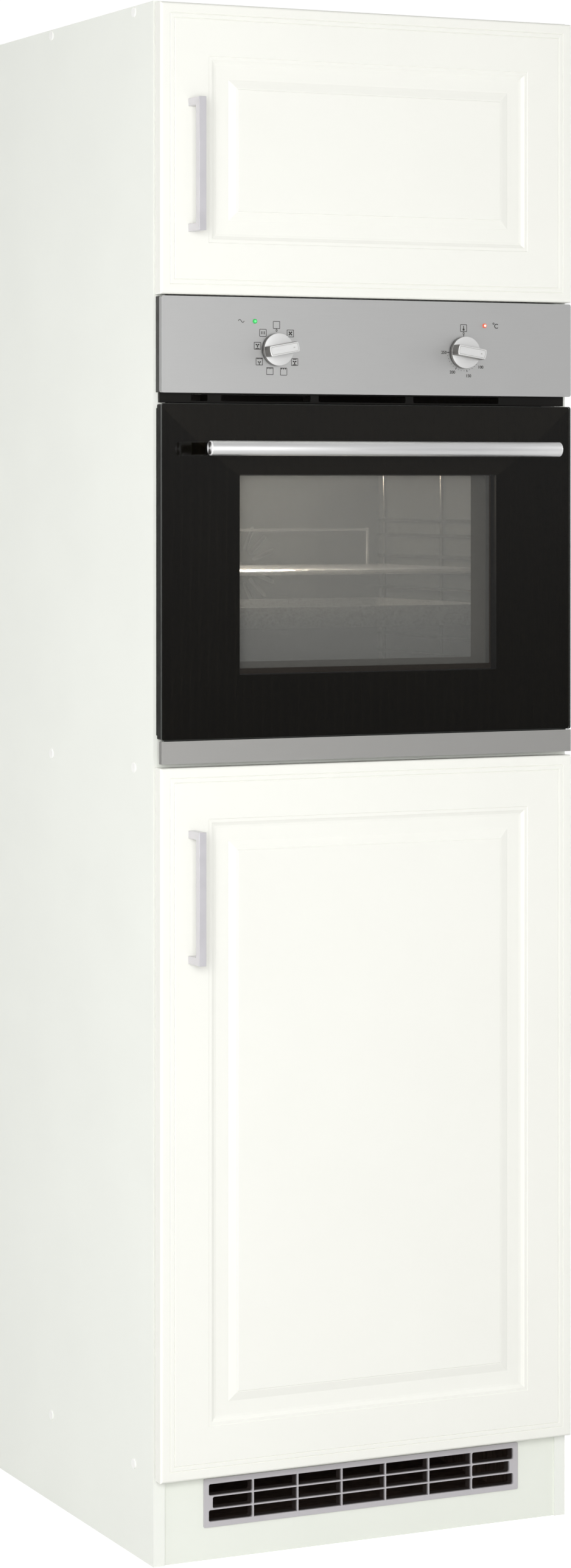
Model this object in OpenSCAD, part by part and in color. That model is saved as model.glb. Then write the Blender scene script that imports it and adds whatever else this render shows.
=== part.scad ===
// Tall kitchen unit with a built-in oven: a plinth, an appliance niche behind the lower door,
// an oven niche and an upper compartment behind a second door.
// Millimetres. X runs across, Z up from the floor. Inside in_place(), Y = 0 is the carcass front
// edge and Y grows towards the back; the origin is the centre of the footprint.

/* [Cabinet] */
// Width over the side panels
cabinet_w = 600; // [540:5:660]
// Height over all
cabinet_h = 2000; // [1800:5:2200]
// Depth of the side panels
cabinet_d = 550; // [545:5:600]
// Thickness of the carcass boards
board_t = 16; // [15:0.5:19]
// Thickness of the compartment's back panel
back_panel_t = 3; // [2.5:0.5:5]
// Distance of the back panel from the rear edge
back_panel_inset = 15; // [10:1:20]
// Depth of the grooves that hold the back panel
groove_d = 8; // [5:1:9]
// Height of the plinth
plinth_h = 110; // [105:5:150]
// Distance of the plinth behind the side panels' front edges
plinth_setback = 3; // [2:0.5:10]
// Clear height of the upper compartment; the appliance niche takes what is left
compartment_h = 343; // [320:1:400]
// Clear height of the oven niche
oven_niche_h = 600; // [560:1:640]
// Height of the rear cross rail
rail_h = 100; // [60:5:120]
// Diameter of the wall fixing holes in the rear cross rail
wall_hole_d = 8; // [6:0.5:10]
// Distance between the wall fixing holes
wall_hole_spacing = 400; // [200:10:480]

/* [Connecting screws] */
// Distance of the first screw behind the front edge
screw_front_y = 64; // [50:1:80]
// Distance from the first screw to the second
screw_spacing = 288; // [224:32:320]
// Shank diameter in the side panel
screw_shank_d = 7; // [6:0.5:7.5]
// Core diameter in the board's end
screw_core_d = 5; // [4:0.5:5.5]
// Length of the screw under its head
screw_l = 56; // [45:1:60]
// Head diameter
screw_head_d = 10; // [9:0.5:11]
// Head thickness
screw_head_t = 3.5; // [3:0.5:4]
// Cover cap diameter
cap_d = 13; // [12:0.5:16]
// Cover cap thickness
cap_t = 1; // [0.8:0.1:1.5]

/* [Doors] */
// Thickness of the doors
door_t = 19; // [18:0.5:22]
// Gap between a door's back and the carcass
door_gap = 2; // [1.5:0.5:2.5]
// Gap from a door's side edge to the cabinet's side face
door_reveal = 1.5; // [1:0.5:2]
// Gap above the upper door
top_reveal = 3; // [2:0.5:5]
// Gap between the oven fascia and the upper door
fascia_gap = 2; // [1.5:0.5:3]
// Gap between the oven's bottom trim and the lower door
trim_gap = 5; // [5:0.5:8]
// Gap below the lower door, above the plinth's top
plinth_reveal = 1; // [0.5:0.5:3]
// Rounding of the doors' front edges
door_edge_r = 3; // [2:0.5:4]
// Rounding of the doors' back edges
door_back_r = 1; // [0.5:0.25:1.5]
// Distance of the outer fine groove from the door's edge
fine_groove_inset = 12.5; // [8:0.5:14]
// Distance between the two fine grooves
fine_groove_pitch = 6; // [4:0.5:8]
// Width of a fine groove
fine_groove_w = 1.6; // [1:0.2:2]
// Depth of a fine groove
fine_groove_d = 0.8; // [0.5:0.1:1.2]
// Width of the flat frame round the moulding
frame_w = 66.5; // [60:0.5:80]
// Width of the whole moulding
moulding_w = 41.5; // [38:0.5:50]
// Deepest point of the moulding
moulding_d = 3.5; // [3:0.25:4]

/* [Door handles] */
// Distance between the handle's screws
handle_spacing = 160; // [128:32:192]
// Width of the square section
handle_bar_w = 10; // [9:0.5:12]
// Thickness of the bar, front to back
handle_bar_t = 11; // [9:0.5:12]
// Distance from the door's front to the handle's front
handle_reach = 35; // [30:1:40]
// Distance from the door's side edge to the handle's middle
handle_inset = 43; // [36:1:50]
// Distance from the handle's end to the door edge that faces the oven
handle_edge_gap = 80; // [60:5:100]
// Handle screw diameter
handle_screw_d = 4; // [3.5:0.5:5]

/* [Door hinges] */
// Distance of the hinge pin from the door's side edge
pin_edge = 6.5; // [6:0.25:7]
// Distance of the hinge pin behind the door's front face
pin_depth = 8; // [8:0.25:8.5]
// Hinge pin diameter
hinge_pin_d = 2.5; // [2:0.25:3]
// Running clearance round the pin, on the radius
pin_play = 0.05; // [0.02:0.01:0.09]
// Hinge cup diameter
cup_d = 35; // [34:0.5:35]
// Distance of the cup from the door's side edge
cup_edge = 2.8; // [2.6:0.1:3]
// Wall of the cup
cup_wall = 0.7; // [0.6:0.1:0.8]
// Height of the arm's eye
eye_h = 8; // [6:1:9]
// Thickness of the arm
arm_t = 2; // [1.5:0.25:2.2]
// Distance of the mounting plate's middle behind the front edge
plate_y = 37; // [35:1:40]
// Distance from the door's ends to its outer hinges
hinge_end = 90; // [80:5:110]

/* [Vent grille] */
// Width over the flange
grille_w = 458; // [420:2:500]
// Height over the flange
grille_h = 62.5; // [56:0.5:66]
// Distance from the floor to the flange
grille_z = 42; // [30:1:42]
// Width of the flange outside the cut-out
flange_lap = 5; // [3:0.5:8]
// Thickness of the flange
flange_t = 2; // [1:0.5:2]
// Distance from the flange's edge to the openings
grille_rim = 7; // [6:0.5:9]
// Depth of the fins behind the flange
fin_d = 14; // [8:1:20]
// Thickness of the fins
fin_t = 1.7; // [1.2:0.1:2.5]
// Openings across
grille_columns = 7; // [4:1:9]
// Openings one above another
grille_rows = 3; // [2:1:4]
// How much shorter the end openings of the middle rows are
short_end = 5.5; // [0:0.5:8]

/* [Oven body] */
// Gap from the oven front's side edge to the cabinet's side face
oven_reveal = 2.5; // [2:0.5:4]
// Height of the oven front's lower edge above the niche floor
oven_lift = 1; // [0:0.5:2]
// Height of the control fascia
fascia_h = 123.5; // [110:0.5:130]
// Depth of the fascia's folded edges
fascia_d = 8; // [6:0.5:10]
// Sheet thickness of the fascia and the bottom trim
sheet_t = 1; // [0.8:0.1:1.2]
// Corner radius of the fascia and the glass
corner_r = 3; // [2:0.5:5]
// Gap between the casing and the niche's sides
casing_gap = 8; // [6:1:12]
// Gap above the casing
casing_top_gap = 8; // [5:1:15]
// Depth of the casing behind the front frame
casing_d = 490; // [470:5:495]
// Wall of the casing
casing_t = 1.2; // [0.8:0.1:1.5]
// Distance of the front frame behind the carcass front
frame_y = 18; // [18:0.5:22]
// Thickness of the front frame
frame_t = 1.5; // [1:0.25:2]
// Cavity width
cavity_w = 460; // [430:5:470]
// Distance of the cavity's roof below the niche's roof
cavity_drop = 170; // [160:5:185]
// Cavity depth
cavity_d = 400; // [380:5:410]
// Cavity floor above the niche floor
cavity_lift = 55; // [52:1:60]
// Wall of the cavity
cavity_t = 1.5; // [1:0.25:2]
// Corner radius of the cavity
cavity_r = 12; // [5:1:20]

/* [Oven controls] */
// Distance of a knob's axis from the middle
knob_x = 136; // [110:1:160]
// Distance of the knobs' axes below the fascia's middle
knob_drop = 5; // [0:1:15]
// Knob diameter
knob_d = 42; // [36:1:46]
// Thickness of the knob's base disc
knob_base_t = 7.5; // [5:0.5:10]
// Height of the grip above the disc
grip_h = 17; // [10:0.5:20]
// Width of the grip
grip_w = 13.5; // [9:0.5:16]
// Gap between the knob and the fascia
knob_gap = 0.5; // [0.4:0.1:1]
// Direction of the function knob's pointer, up from the right
function_tilt = 10; // [-30:1:30]
// Direction of the temperature knob's pointer, up from the right
temperature_tilt = -9; // [-30:1:30]
// Spindle diameter
spindle_d = 6; // [5:0.5:8]
// Distance of an indicator lens from the middle
lens_x = 167; // [160:1:200]
// Height of the indicator lenses above the fascia's middle
lens_rise = 31; // [25:1:40]
// Indicator lens diameter
lens_d = 6; // [4:0.5:8]

/* [Oven door] */
// Height of the steel trim below the glass
trim_h = 29; // [26:0.5:32]
// Gap between the trim and the glass
trim_seam = 1; // [0.5:0.25:2]
// Gap between the glass and the fascia
vent_h = 13.5; // [12:0.5:18]
// Thickness of the outer glass
glass_t = 4; // [3:0.5:4]
// Thickness of the black print behind it
print_t = 0.3; // [0.2:0.1:0.4]
// Window width in the print
window_w = 374; // [340:2:400]
// Distance of the window's upper edge below the niche's roof
window_drop = 229.5; // [210:0.5:250]
// Height of the window's lower edge above the niche floor
window_lift = 112.5; // [105:0.5:120]
// How much narrower the middle window is on each side
middle_inset = 0.5; // [0.5:0.5:6]
// How much narrower the inner window is on each side
inner_inset_x = 1; // [1:0.5:30]
// How much lower the inner window is at top and bottom
inner_inset_z = 1; // [1:0.5:16]
// Thickness of the inner panes
pane_t = 3; // [2.5:0.5:3.5]
// Handle bar diameter
bar_d = 19; // [16:0.5:22]
// Handle bar length
bar_l = 506; // [440:2:540]
// Distance from the glass to the bar's middle
bar_reach = 50.5; // [40:0.5:60]
// Distance of the bar's middle below the glass's top edge
bar_drop = 57.5; // [40:0.5:80]
// Distance from the bar's end to the middle of its bracket
bar_end = 22; // [15:1:60]
// Height of the hinge axis above the trim's lower edge
axis_lift = 10; // [9.5:0.25:10.5]
// Distance of the hinge axis behind the glass's front
axis_depth = 9; // [8.75:0.25:9.25]
// Oven hinge pin diameter
oven_pin_d = 4; // [3.5:0.25:4.25]

/* [Oven interior] */
// Height of the rack above the cavity floor
rack_lift = 187; // [175:1:230]
// Height of the tray above the cavity floor
tray_lift = 142; // [110:1:150]
// Diameter of the rack's frame wire
frame_wire_d = 6; // [5:0.5:7]
// Diameter of the rack's cross wires
cross_wire_d = 3; // [2:0.5:4]
// Cross wires in the rack
cross_wires = 19; // [11:2:27]
// Distance of the last cross wire from the rack's side
cross_wire_edge = 14; // [8:1:30]
// Height of the raised stop at the rack's back
rack_stop_h = 54; // [20:1:60]
// Depth of the baking tray
tray_d = 28; // [20:1:40]
// Fan diameter
fan_d = 150; // [130:2:160]
// Fan blades
fan_blades = 10; // [6:1:12]

/* [Hidden] */
$fn = 64;
tiny = 0.01;
// clearances: between fixed pieces, between a sliding piece and its guide, and of a drilled hole
fit = 0.1;
slide_gap = 0.3;
drill = 0.05;
// room left for whatever lies past a face when it is cut
past = 1;

front_reach = door_gap + door_t + bar_reach + bar_d / 2;
carcass_front_y = -(cabinet_d - front_reach) / 2;

half_w = cabinet_w / 2;
inner_x = half_w - board_t;
niche_z = plinth_h + board_t;
appliance_niche_h = cabinet_h - plinth_h - 4 * board_t - oven_niche_h - compartment_h;
oven_shelf_z = niche_z + appliance_niche_h;
oven_z = oven_shelf_z + board_t;
shelf_z = oven_z + oven_niche_h;
compartment_z = shelf_z + board_t;
roof_z = cabinet_h - board_t;
back_panel_y = cabinet_d - back_panel_inset - back_panel_t;

door_back_y = -door_gap;
door_front_y = door_back_y - door_t;
door_w = cabinet_w - 2 * door_reveal;
fascia_top_z = shelf_z - fascia_gap;
upper_door_z = fascia_top_z + fascia_gap;
upper_door_h = cabinet_h - top_reveal - upper_door_z;
trim_z = oven_z + oven_lift;
lower_door_z = plinth_h + plinth_reveal;
lower_door_h = trim_z - trim_gap - lower_door_z;

pin_x = door_w / 2 - pin_edge;
pin_y = door_front_y + pin_depth;
cup_x = door_w / 2 - cup_edge - cup_d / 2;
cup_inner_y = pin_y - hinge_pin_d - 0.4;
cup_bottom_y = cup_inner_y - cup_wall;
upper_hinge_zs = [upper_door_z + hinge_end, upper_door_z + upper_door_h - hinge_end];
lower_hinge_zs = [lower_door_z + hinge_end, lower_door_z + lower_door_h / 2,
                  lower_door_z + lower_door_h - hinge_end];
all_hinge_zs = concat(upper_hinge_zs, lower_hinge_zs);

handle_x = -door_w / 2 + handle_inset;
upper_handle_z = upper_door_z + handle_edge_gap + handle_bar_w / 2;
lower_handle_z = lower_door_z + lower_door_h - handle_edge_gap - handle_bar_w / 2 - handle_spacing;
handle_bore_l = 16;

screw_zs = [plinth_h + board_t / 2, oven_shelf_z + board_t / 2, roof_z + board_t / 2];
screw_ys = [screw_front_y, screw_front_y + screw_spacing];
screw_head_x = half_w - 0.5 - screw_head_t;

oven_half_w = half_w - oven_reveal;
casing_x = inner_x - casing_gap;
frame_back_y = frame_y + frame_t;
casing_back_y = frame_back_y + casing_d;
casing_top_z = shelf_z - casing_top_gap;
fascia_z = fascia_top_z - fascia_h;
fascia_mid_z = fascia_z + fascia_h / 2;
knob_z = fascia_mid_z - knob_drop;
lens_z = fascia_mid_z + lens_rise;
carrier_y = door_front_y + fascia_d;
carrier_t = 2;
cavity_z = oven_z + cavity_lift;
cavity_h = oven_niche_h - cavity_lift - cavity_drop;
cavity_mid_z = cavity_z + cavity_h / 2;
cavity_back_y = frame_back_y + cavity_d;

glass_z = trim_z + trim_h + trim_seam;
glass_h = fascia_z - vent_h - glass_z;
glass_mid_z = glass_z + glass_h / 2;
glass_back_y = door_front_y + glass_t;
print_back_y = glass_back_y + print_t;
window_h = oven_niche_h - window_lift - window_drop;
window_mid_z = oven_z + window_lift + window_h / 2;
bar_z = glass_z + glass_h - bar_drop;
bar_y = door_front_y - bar_reach;
axis_y = door_front_y + axis_depth;
axis_z = trim_z + axis_lift;

// the door's folded frame: a front tray behind the glass and a narrower plug in the cavity's mouth
door_sheet = 1;
tray_back_y = -3;
plug_back_y = frame_y - 6;
door_inner_y = plug_back_y + pane_t;
tray_x = oven_half_w - 1.5;
plug_x = casing_x - 10;
tray_mid_z = glass_mid_z;
tray_h = glass_h - 2;
plug_h = cavity_h + 33;
plug_mid_z = cavity_z + cavity_h / 2;
middle_pane_y = tray_back_y + 1;
hinge_bracket_x = casing_x - 23;
hinge_bracket_t = 6;
ear_t = 3.6;

rack_z = cavity_z + rack_lift;
tray_z = cavity_z + tray_lift;
// the rack and the tray lie on guide wires, which uprights between them and the wall carry
guide_x = cavity_w / 2 - 11;
guide_wire_d = 5;
upright_x = guide_x + 7;
guide_drop = frame_wire_d / 2 + slide_gap + guide_wire_d / 2;
guide_rise = 15;
rack_front_y = frame_back_y + 14;
rack_back_y = cavity_back_y - 46;
guide_front_y = frame_back_y + 20;
guide_back_y = cavity_back_y - 26;
fan_y = cavity_back_y - 16;
fan_cover_y = cavity_back_y - 20;
cooling_z = casing_top_z - 52;
cooling_y = 150;

white_board = "#f4f3ec";
white_front = "#fbfaf4";
steel = "#c3c2be";
dark = "#1d1c1b";

// ---------- helpers ----------

module in_place() { translate([0, carcass_front_y, 0]) children(); }

// a box between two corners
module block(low, high) { translate(low) cube(high - low); }

// the children, and their mirror image across the cabinet's middle plane
module both_sides() {
  children();
  mirror([1, 0, 0]) children();
}

module rod_x(x0, x1, y, z, d) {
  translate([x0, y, z]) rotate([0, 90, 0]) cylinder(h = x1 - x0, d = d);
}

module rod_y(x, y0, y1, z, d) {
  translate([x, y1, z]) rotate([90, 0, 0]) cylinder(h = y1 - y0, d = d);
}

module rod_z(x, y, z0, z1, d) { translate([x, y, z0]) cylinder(h = z1 - z0, d = d); }

// a flat outline drawn in X and Z, from y0 back to y1
module plate(y0, y1) { translate([0, y1, 0]) rotate([90, 0, 0]) linear_extrude(y1 - y0) children(); }

// an outline drawn in Y and Z, from x0 to x1
module bar_x(x0, x1) { translate([x0, 0, 0]) rotate([90, 0, 90]) linear_extrude(x1 - x0) children(); }

// a rectangle with round corners, about the origin
module round_rect(w, h, r) {
  square([w - 2 * r, h], center = true);
  square([w, h - 2 * r], center = true);
  for (x = [-1, 1], y = [-1, 1]) translate([x * (w / 2 - r), y * (h / 2 - r)]) circle(r);
}

// the same, at a height
module round_rect_at(z, w, h, r) { translate([0, z]) round_rect(w, h, r); }

// ---------- carcass ----------

module back_panel_shape(grow) {
  block([-inner_x - groove_d - grow, back_panel_y - grow, compartment_z - groove_d - grow],
        [inner_x + groove_d + grow, back_panel_y + back_panel_t + grow, roof_z + groove_d + grow]);
}

// clearance holes for the connecting screws in a side panel at +X
module side_panel_holes() {
  for (z = screw_zs, y = screw_ys) {
    rod_x(inner_x - past, half_w + past, y, z, screw_shank_d + 2 * drill);
    rod_x(screw_head_x - fit, half_w + past, y, z, screw_head_d + 2 * drill);
  }
}

module oven_screw_places() {
  for (z = [glass_z + 90, glass_z + glass_h - 60]) translate([0, 0, z]) children();
}

module side_panel(side) {
  color(white_board) in_place() mirror([side < 0 ? 1 : 0, 0, 0]) difference() {
    block([inner_x, 0, 0], [half_w, cabinet_d, cabinet_h]);
    side_panel_holes();
    back_panel_shape(fit);
    oven_screw_places() rod_y((inner_x + half_w) / 2, -past, oven_screw_l + 1, 0, oven_screw_d + 2 * drill);
  }
}

module left_side_panel() { side_panel(-1); }
module right_side_panel() { side_panel(1); }

// a horizontal board between the side panels, drilled in its ends
module board(z, screwed) {
  difference() {
    block([-inner_x, 0, z], [inner_x, cabinet_d, z + board_t]);
    if (screwed) both_sides() for (y = screw_ys)
      rod_x(screw_head_x - screw_l - past, inner_x + past, y, z + board_t / 2,
            screw_core_d + 2 * drill);
  }
}

module top_panel() {
  color(white_board) in_place() difference() {
    board(roof_z, true);
    back_panel_shape(fit);
  }
}

module bottom_panel() { color(white_board) in_place() board(plinth_h, true); }
module oven_shelf() { color(white_board) in_place() board(oven_shelf_z, true); }

module compartment_shelf() {
  color(white_board) in_place() difference() {
    board(shelf_z, false);
    back_panel_shape(fit);
  }
}

module compartment_back_panel() { color(white_board) in_place() back_panel_shape(0); }

module rear_cross_rail() {
  color(white_board) in_place() difference() {
    block([-inner_x, cabinet_d - board_t, shelf_z - rail_h], [inner_x, cabinet_d, shelf_z]);
    both_sides() rod_y(wall_hole_spacing / 2, cabinet_d - board_t - past, cabinet_d + past,
                       shelf_z - rail_h / 2, wall_hole_d);
  }
}

grille_mid_z = grille_z + grille_h / 2;

module plinth_panel() {
  color(white_board) in_place() difference() {
    block([-inner_x, plinth_setback, 0], [inner_x, plinth_setback + board_t, plinth_h]);
    plate(plinth_setback - past, plinth_setback + board_t + past)
      translate([0, grille_mid_z])
        square([grille_w - 2 * flange_lap, grille_h - 2 * flange_lap], center = true);
  }
}

// one opening of the grille, with round corners in the end columns
module grille_opening(column, row) {
  inner_w = grille_w - 2 * grille_rim;
  inner_h = grille_h - 2 * grille_rim;
  pitch_x = (inner_w + fin_t) / grille_columns;
  pitch_z = (inner_h + fin_t) / grille_rows;
  first = column == 0;
  last = column == grille_columns - 1;
  is_short = row > 0 && row < grille_rows - 1;
  x0 = -inner_w / 2 + column * pitch_x + (first && is_short ? short_end : 0);
  x1 = -inner_w / 2 + (column + 1) * pitch_x - fin_t - (last && is_short ? short_end : 0);
  z0 = grille_mid_z - inner_h / 2 + row * pitch_z;
  h = pitch_z - fin_t;
  translate([(x0 + x1) / 2, z0 + h / 2]) {
    if (first || last) round_rect(x1 - x0, h, 2.5);
    else square([x1 - x0, h], center = true);
  }
}

module vent_grille() {
  color("#bdb4bb") in_place() difference() {
    union() {
      plate(plinth_setback - flange_t, plinth_setback) round_rect_at(grille_mid_z, grille_w, grille_h, 2);
      plate(plinth_setback, plinth_setback + fin_d) translate([0, grille_mid_z])
        square([grille_w - 2 * flange_lap - 2 * fit, grille_h - 2 * flange_lap - 2 * fit],
               center = true);
    }
    plate(plinth_setback - flange_t - past, plinth_setback + fin_d + past)
      for (column = [0:grille_columns - 1], row = [0:grille_rows - 1]) grille_opening(column, row);
  }
}

module connecting_screws() {
  color("#b9b6a8") in_place() both_sides() for (z = screw_zs, y = screw_ys) {
    rod_x(screw_head_x - screw_l, inner_x + past, y, z, screw_core_d);
    rod_x(inner_x, screw_head_x + tiny, y, z, screw_shank_d);
    rod_x(screw_head_x, screw_head_x + screw_head_t, y, z, screw_head_d);
  }
}

module screw_cover_caps() {
  color("#ffffff") in_place() both_sides() for (z = screw_zs, y = screw_ys)
    rod_x(half_w, half_w + cap_t, y, z, cap_d);
}

// ---------- framed doors ----------

// the moulding's section: distance in from its outer line, then depth below the front face
bevel_start = moulding_w - 12.5;
moulding = [[0, -past], [0, 0], [0.6, 0.7], [4.6, 0.7], [6, 1.6], [9, moulding_d - 0.4],
            [12, moulding_d], [bevel_start, moulding_d], [moulding_w - 2, 0.7],
            [moulding_w - 0.6, 0.7], [moulding_w, 0], [moulding_w, -past]];
fine_groove = [[0, -past], [0, 0], [fine_groove_w / 2, fine_groove_d], [fine_groove_w, 0],
               [fine_groove_w, -past]];

// a section run round a rectangle with mitred corners; X across, Z up, Y into the door
module mitred_ring(half_across, half_up, width, section) {
  for (turn = [0:3]) {
    along = turn % 2 == 0 ? half_across : half_up;
    out = turn % 2 == 0 ? half_up : half_across;
    rotate([0, 90 * turn, 0]) intersection() {
      translate([0, 0, out]) bar_x(-along, along) polygon([for (p = section) [p[1], -p[0]]]);
      plate(-2 * past, moulding_d + past)
        polygon([[-along, out], [along, out], [along - width, out - width],
                 [width - along, out - width]]);
    }
  }
}

// a board's section across, its front edges rounded more than its back edges; front at y = 0
module board_section(w) {
  translate([-w / 2 + door_edge_r, 0]) square([w - 2 * door_edge_r, door_t]);
  translate([-w / 2, door_edge_r]) square([w, door_t - door_edge_r - door_back_r]);
  for (side = [-1, 1]) {
    translate([side * (w / 2 - door_edge_r), door_edge_r]) circle(door_edge_r);
    translate([side * (w / 2 - door_back_r), door_t - door_back_r]) circle(door_back_r);
  }
}

// a raised-panel door about its own middle, its front face at y = 0
module raised_panel(w, h) {
  difference() {
    intersection() {
      translate([0, 0, -h / 2]) linear_extrude(h) board_section(w);
      rotate([0, 90, 0]) translate([0, 0, -w / 2]) linear_extrude(w) board_section(h);
    }
    for (inset = [fine_groove_inset, fine_groove_inset + fine_groove_pitch])
      mitred_ring(w / 2 - inset, h / 2 - inset, fine_groove_w, fine_groove);
    mitred_ring(w / 2 - frame_w, h / 2 - frame_w, moulding_w, moulding);
  }
}

module door_panel(z, h, hinge_zs, handle_z) {
  color(white_front) in_place() difference() {
    translate([0, door_front_y, z + h / 2]) raised_panel(door_w, h);
    for (hinge_z = hinge_zs)
      rod_y(cup_x, cup_bottom_y - fit, door_back_y + past, hinge_z, cup_d + 2 * fit);
    for (screw_z = [handle_z, handle_z + handle_spacing])
      rod_y(handle_x, door_front_y - past, door_back_y + past, screw_z, handle_screw_d + 0.4);
  }
}

module upper_door_panel() {
  door_panel(upper_door_z, upper_door_h, upper_hinge_zs, upper_handle_z);
}

module lower_door_panel() {
  door_panel(lower_door_z, lower_door_h, lower_hinge_zs, lower_handle_z);
}

// a square bar on two legs, with a threaded bore in each leg
module bar_handle(z) {
  half = handle_bar_w / 2;
  color("#b9b6bd") in_place() difference() {
    union() {
      block([handle_x - half, door_front_y - handle_reach, z - half],
            [handle_x + half, door_front_y - handle_reach + handle_bar_t, z + handle_spacing + half]);
      for (leg_z = [z, z + handle_spacing])
        block([handle_x - half, door_front_y - handle_reach + handle_bar_t - tiny, leg_z - half],
              [handle_x + half, door_front_y, leg_z + half]);
    }
    for (leg_z = [z, z + handle_spacing])
      rod_y(handle_x, door_front_y - handle_bore_l, door_front_y + past, leg_z,
            handle_screw_d + 2 * drill);
  }
}

module upper_door_handle() { bar_handle(upper_handle_z); }
module lower_door_handle() { bar_handle(lower_handle_z); }

module handle_screws(z) {
  head_t = door_gap - 0.6;
  color("#a9a9a6") in_place() for (screw_z = [z, z + handle_spacing]) {
    rod_y(handle_x, door_front_y - handle_bore_l + 2, door_back_y + tiny, screw_z, handle_screw_d);
    rod_y(handle_x, door_back_y, door_back_y + head_t, screw_z, 2 * handle_screw_d);
  }
}

module upper_handle_screws() { handle_screws(upper_handle_z); }
module lower_handle_screws() { handle_screws(lower_handle_z); }

// ---------- concealed hinges ----------

// one hinge arm: an eye round the pin, a strip out of the cup and a foot on the mounting plate
arm_x = cup_x - 6;
arm_foot_y = 24;
plate_t = 3;
plate_l = 30;
wing_h = 60;
wing_w = 13;
wing_edge = 15;

module hinge_arm() {
  eye_d = hinge_pin_d + 1.9;
  difference() {
    union() {
      rod_z(pin_x, pin_y, -eye_h / 2, eye_h / 2, eye_d);
      block([arm_x, pin_y - arm_t / 2, -eye_h / 2], [pin_x, pin_y + arm_t / 2, eye_h / 2]);
      block([arm_x, pin_y - arm_t / 2, -eye_h / 2],
            [arm_x + arm_t, plate_y + plate_l / 2 + 8, eye_h / 2]);
      block([arm_x, arm_foot_y, -eye_h / 2], [inner_x - plate_t, plate_y + plate_l / 2 + 8, eye_h / 2]);
    }
    rod_z(pin_x, pin_y, -eye_h, eye_h, hinge_pin_d + 2 * pin_play);
  }
}

module hinge_arms() {
  color("#c9c8c4") in_place() for (z = all_hinge_zs) translate([0, 0, z]) hinge_arm();
}

module hinge_mounting_plates() {
  color("#c9c8c4") in_place() for (z = all_hinge_zs) {
    block([inner_x - plate_t, plate_y - plate_l / 2, z - 25], [inner_x, plate_y + plate_l / 2, z + 25]);
    for (screw_z = [z - 16, z + 16]) rod_x(inner_x - plate_t - 1.5, inner_x - plate_t, plate_y, screw_z, 8);
  }
}

// a cup with a wing plate on the door's back, and the pin between its two lugs
module hinge_cup() {
  lug_h = 2.2;
  lug_z = eye_h / 2 + slide_gap;
  wing_x = cup_x - wing_edge;
  difference() {
    rod_y(cup_x, cup_bottom_y, door_back_y, 0, cup_d);
    rod_y(cup_x, cup_inner_y, door_back_y + past, 0, cup_d - 2 * cup_wall);
  }
  intersection() {
    rod_y(cup_x, cup_bottom_y, door_back_y, 0, cup_d - cup_wall);
    for (side = [-1, 1]) translate([0, 0, side * (lug_z + lug_h / 2)])
      block([pin_x - 3, cup_bottom_y, -lug_h / 2], [cup_x + cup_d / 2, pin_y + 2.4, lug_h / 2]);
  }
  difference() {
    block([wing_x, door_back_y, -wing_h / 2], [wing_x + wing_w, door_back_y + 1.2, wing_h / 2]);
    rod_y(cup_x, door_back_y - past, door_back_y + 2, 0, cup_d - 2 * cup_wall);
  }
  rod_z(pin_x, pin_y, -lug_z - lug_h / 2, lug_z + lug_h / 2, hinge_pin_d);
}

module hinge_cups(zs) {
  color("#c9c8c4") in_place() for (z = zs) translate([0, 0, z]) hinge_cup();
}

module upper_hinge_cups() { hinge_cups(upper_hinge_zs); }
module lower_hinge_cups() { hinge_cups(lower_hinge_zs); }

// ---------- oven body ----------

oven_screw_d = 4;
oven_screw_l = 24;
oven_screw_seat = 0.7;
oven_screw_head_t = 0.8;
lip_x = half_w - 4;

module oven_casing() {
  color("#a8aaa8") in_place() difference() {
    block([-casing_x, frame_back_y, oven_z], [casing_x, casing_back_y, casing_top_z]);
    block([-casing_x + casing_t, frame_back_y - past, oven_z + casing_t],
          [casing_x - casing_t, casing_back_y - casing_t, casing_top_z - casing_t]);
    for (slot = [-5:5])
      plate(casing_back_y - casing_t - past, casing_back_y + past)
        translate([slot * 32, casing_top_z - 60]) square([22, 5], center = true);
  }
}

// terminals of the grill element, the fan's shaft and the lamp pass the cavity's rear wall
fan_shaft_d = 8;
fan_shaft_l = 60;
fan_blade_h = 11;
fan_hub_r = 22;
fan_disc_t = 1.5;
fan_disc_inset = 10;
lamp_x = -165;
lamp_z = cavity_z + cavity_h - 45;
lamp_d = 44;
element_d = 6.5;
element_z = cavity_z + cavity_h - 24;
element_x = 30;

module oven_cavity() {
  color("#55575a") in_place() difference() {
    plate(frame_back_y, cavity_back_y + cavity_t)
      round_rect_at(cavity_mid_z, cavity_w + 2 * cavity_t, cavity_h + 2 * cavity_t, cavity_r + cavity_t);
    plate(frame_back_y - past, cavity_back_y) round_rect_at(cavity_mid_z, cavity_w, cavity_h, cavity_r);
    rod_y(0, cavity_back_y - past, cavity_back_y + 2 * cavity_t, cavity_mid_z, fan_shaft_d + 4);
    rod_y(lamp_x, cavity_back_y - past, cavity_back_y + 2 * cavity_t, lamp_z, lamp_d - 8 + 2 * fit);
    both_sides() rod_y(element_x, cavity_back_y - past, cavity_back_y + 2 * cavity_t, element_z,
                       element_d + 2 * fit);
  }
}

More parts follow.
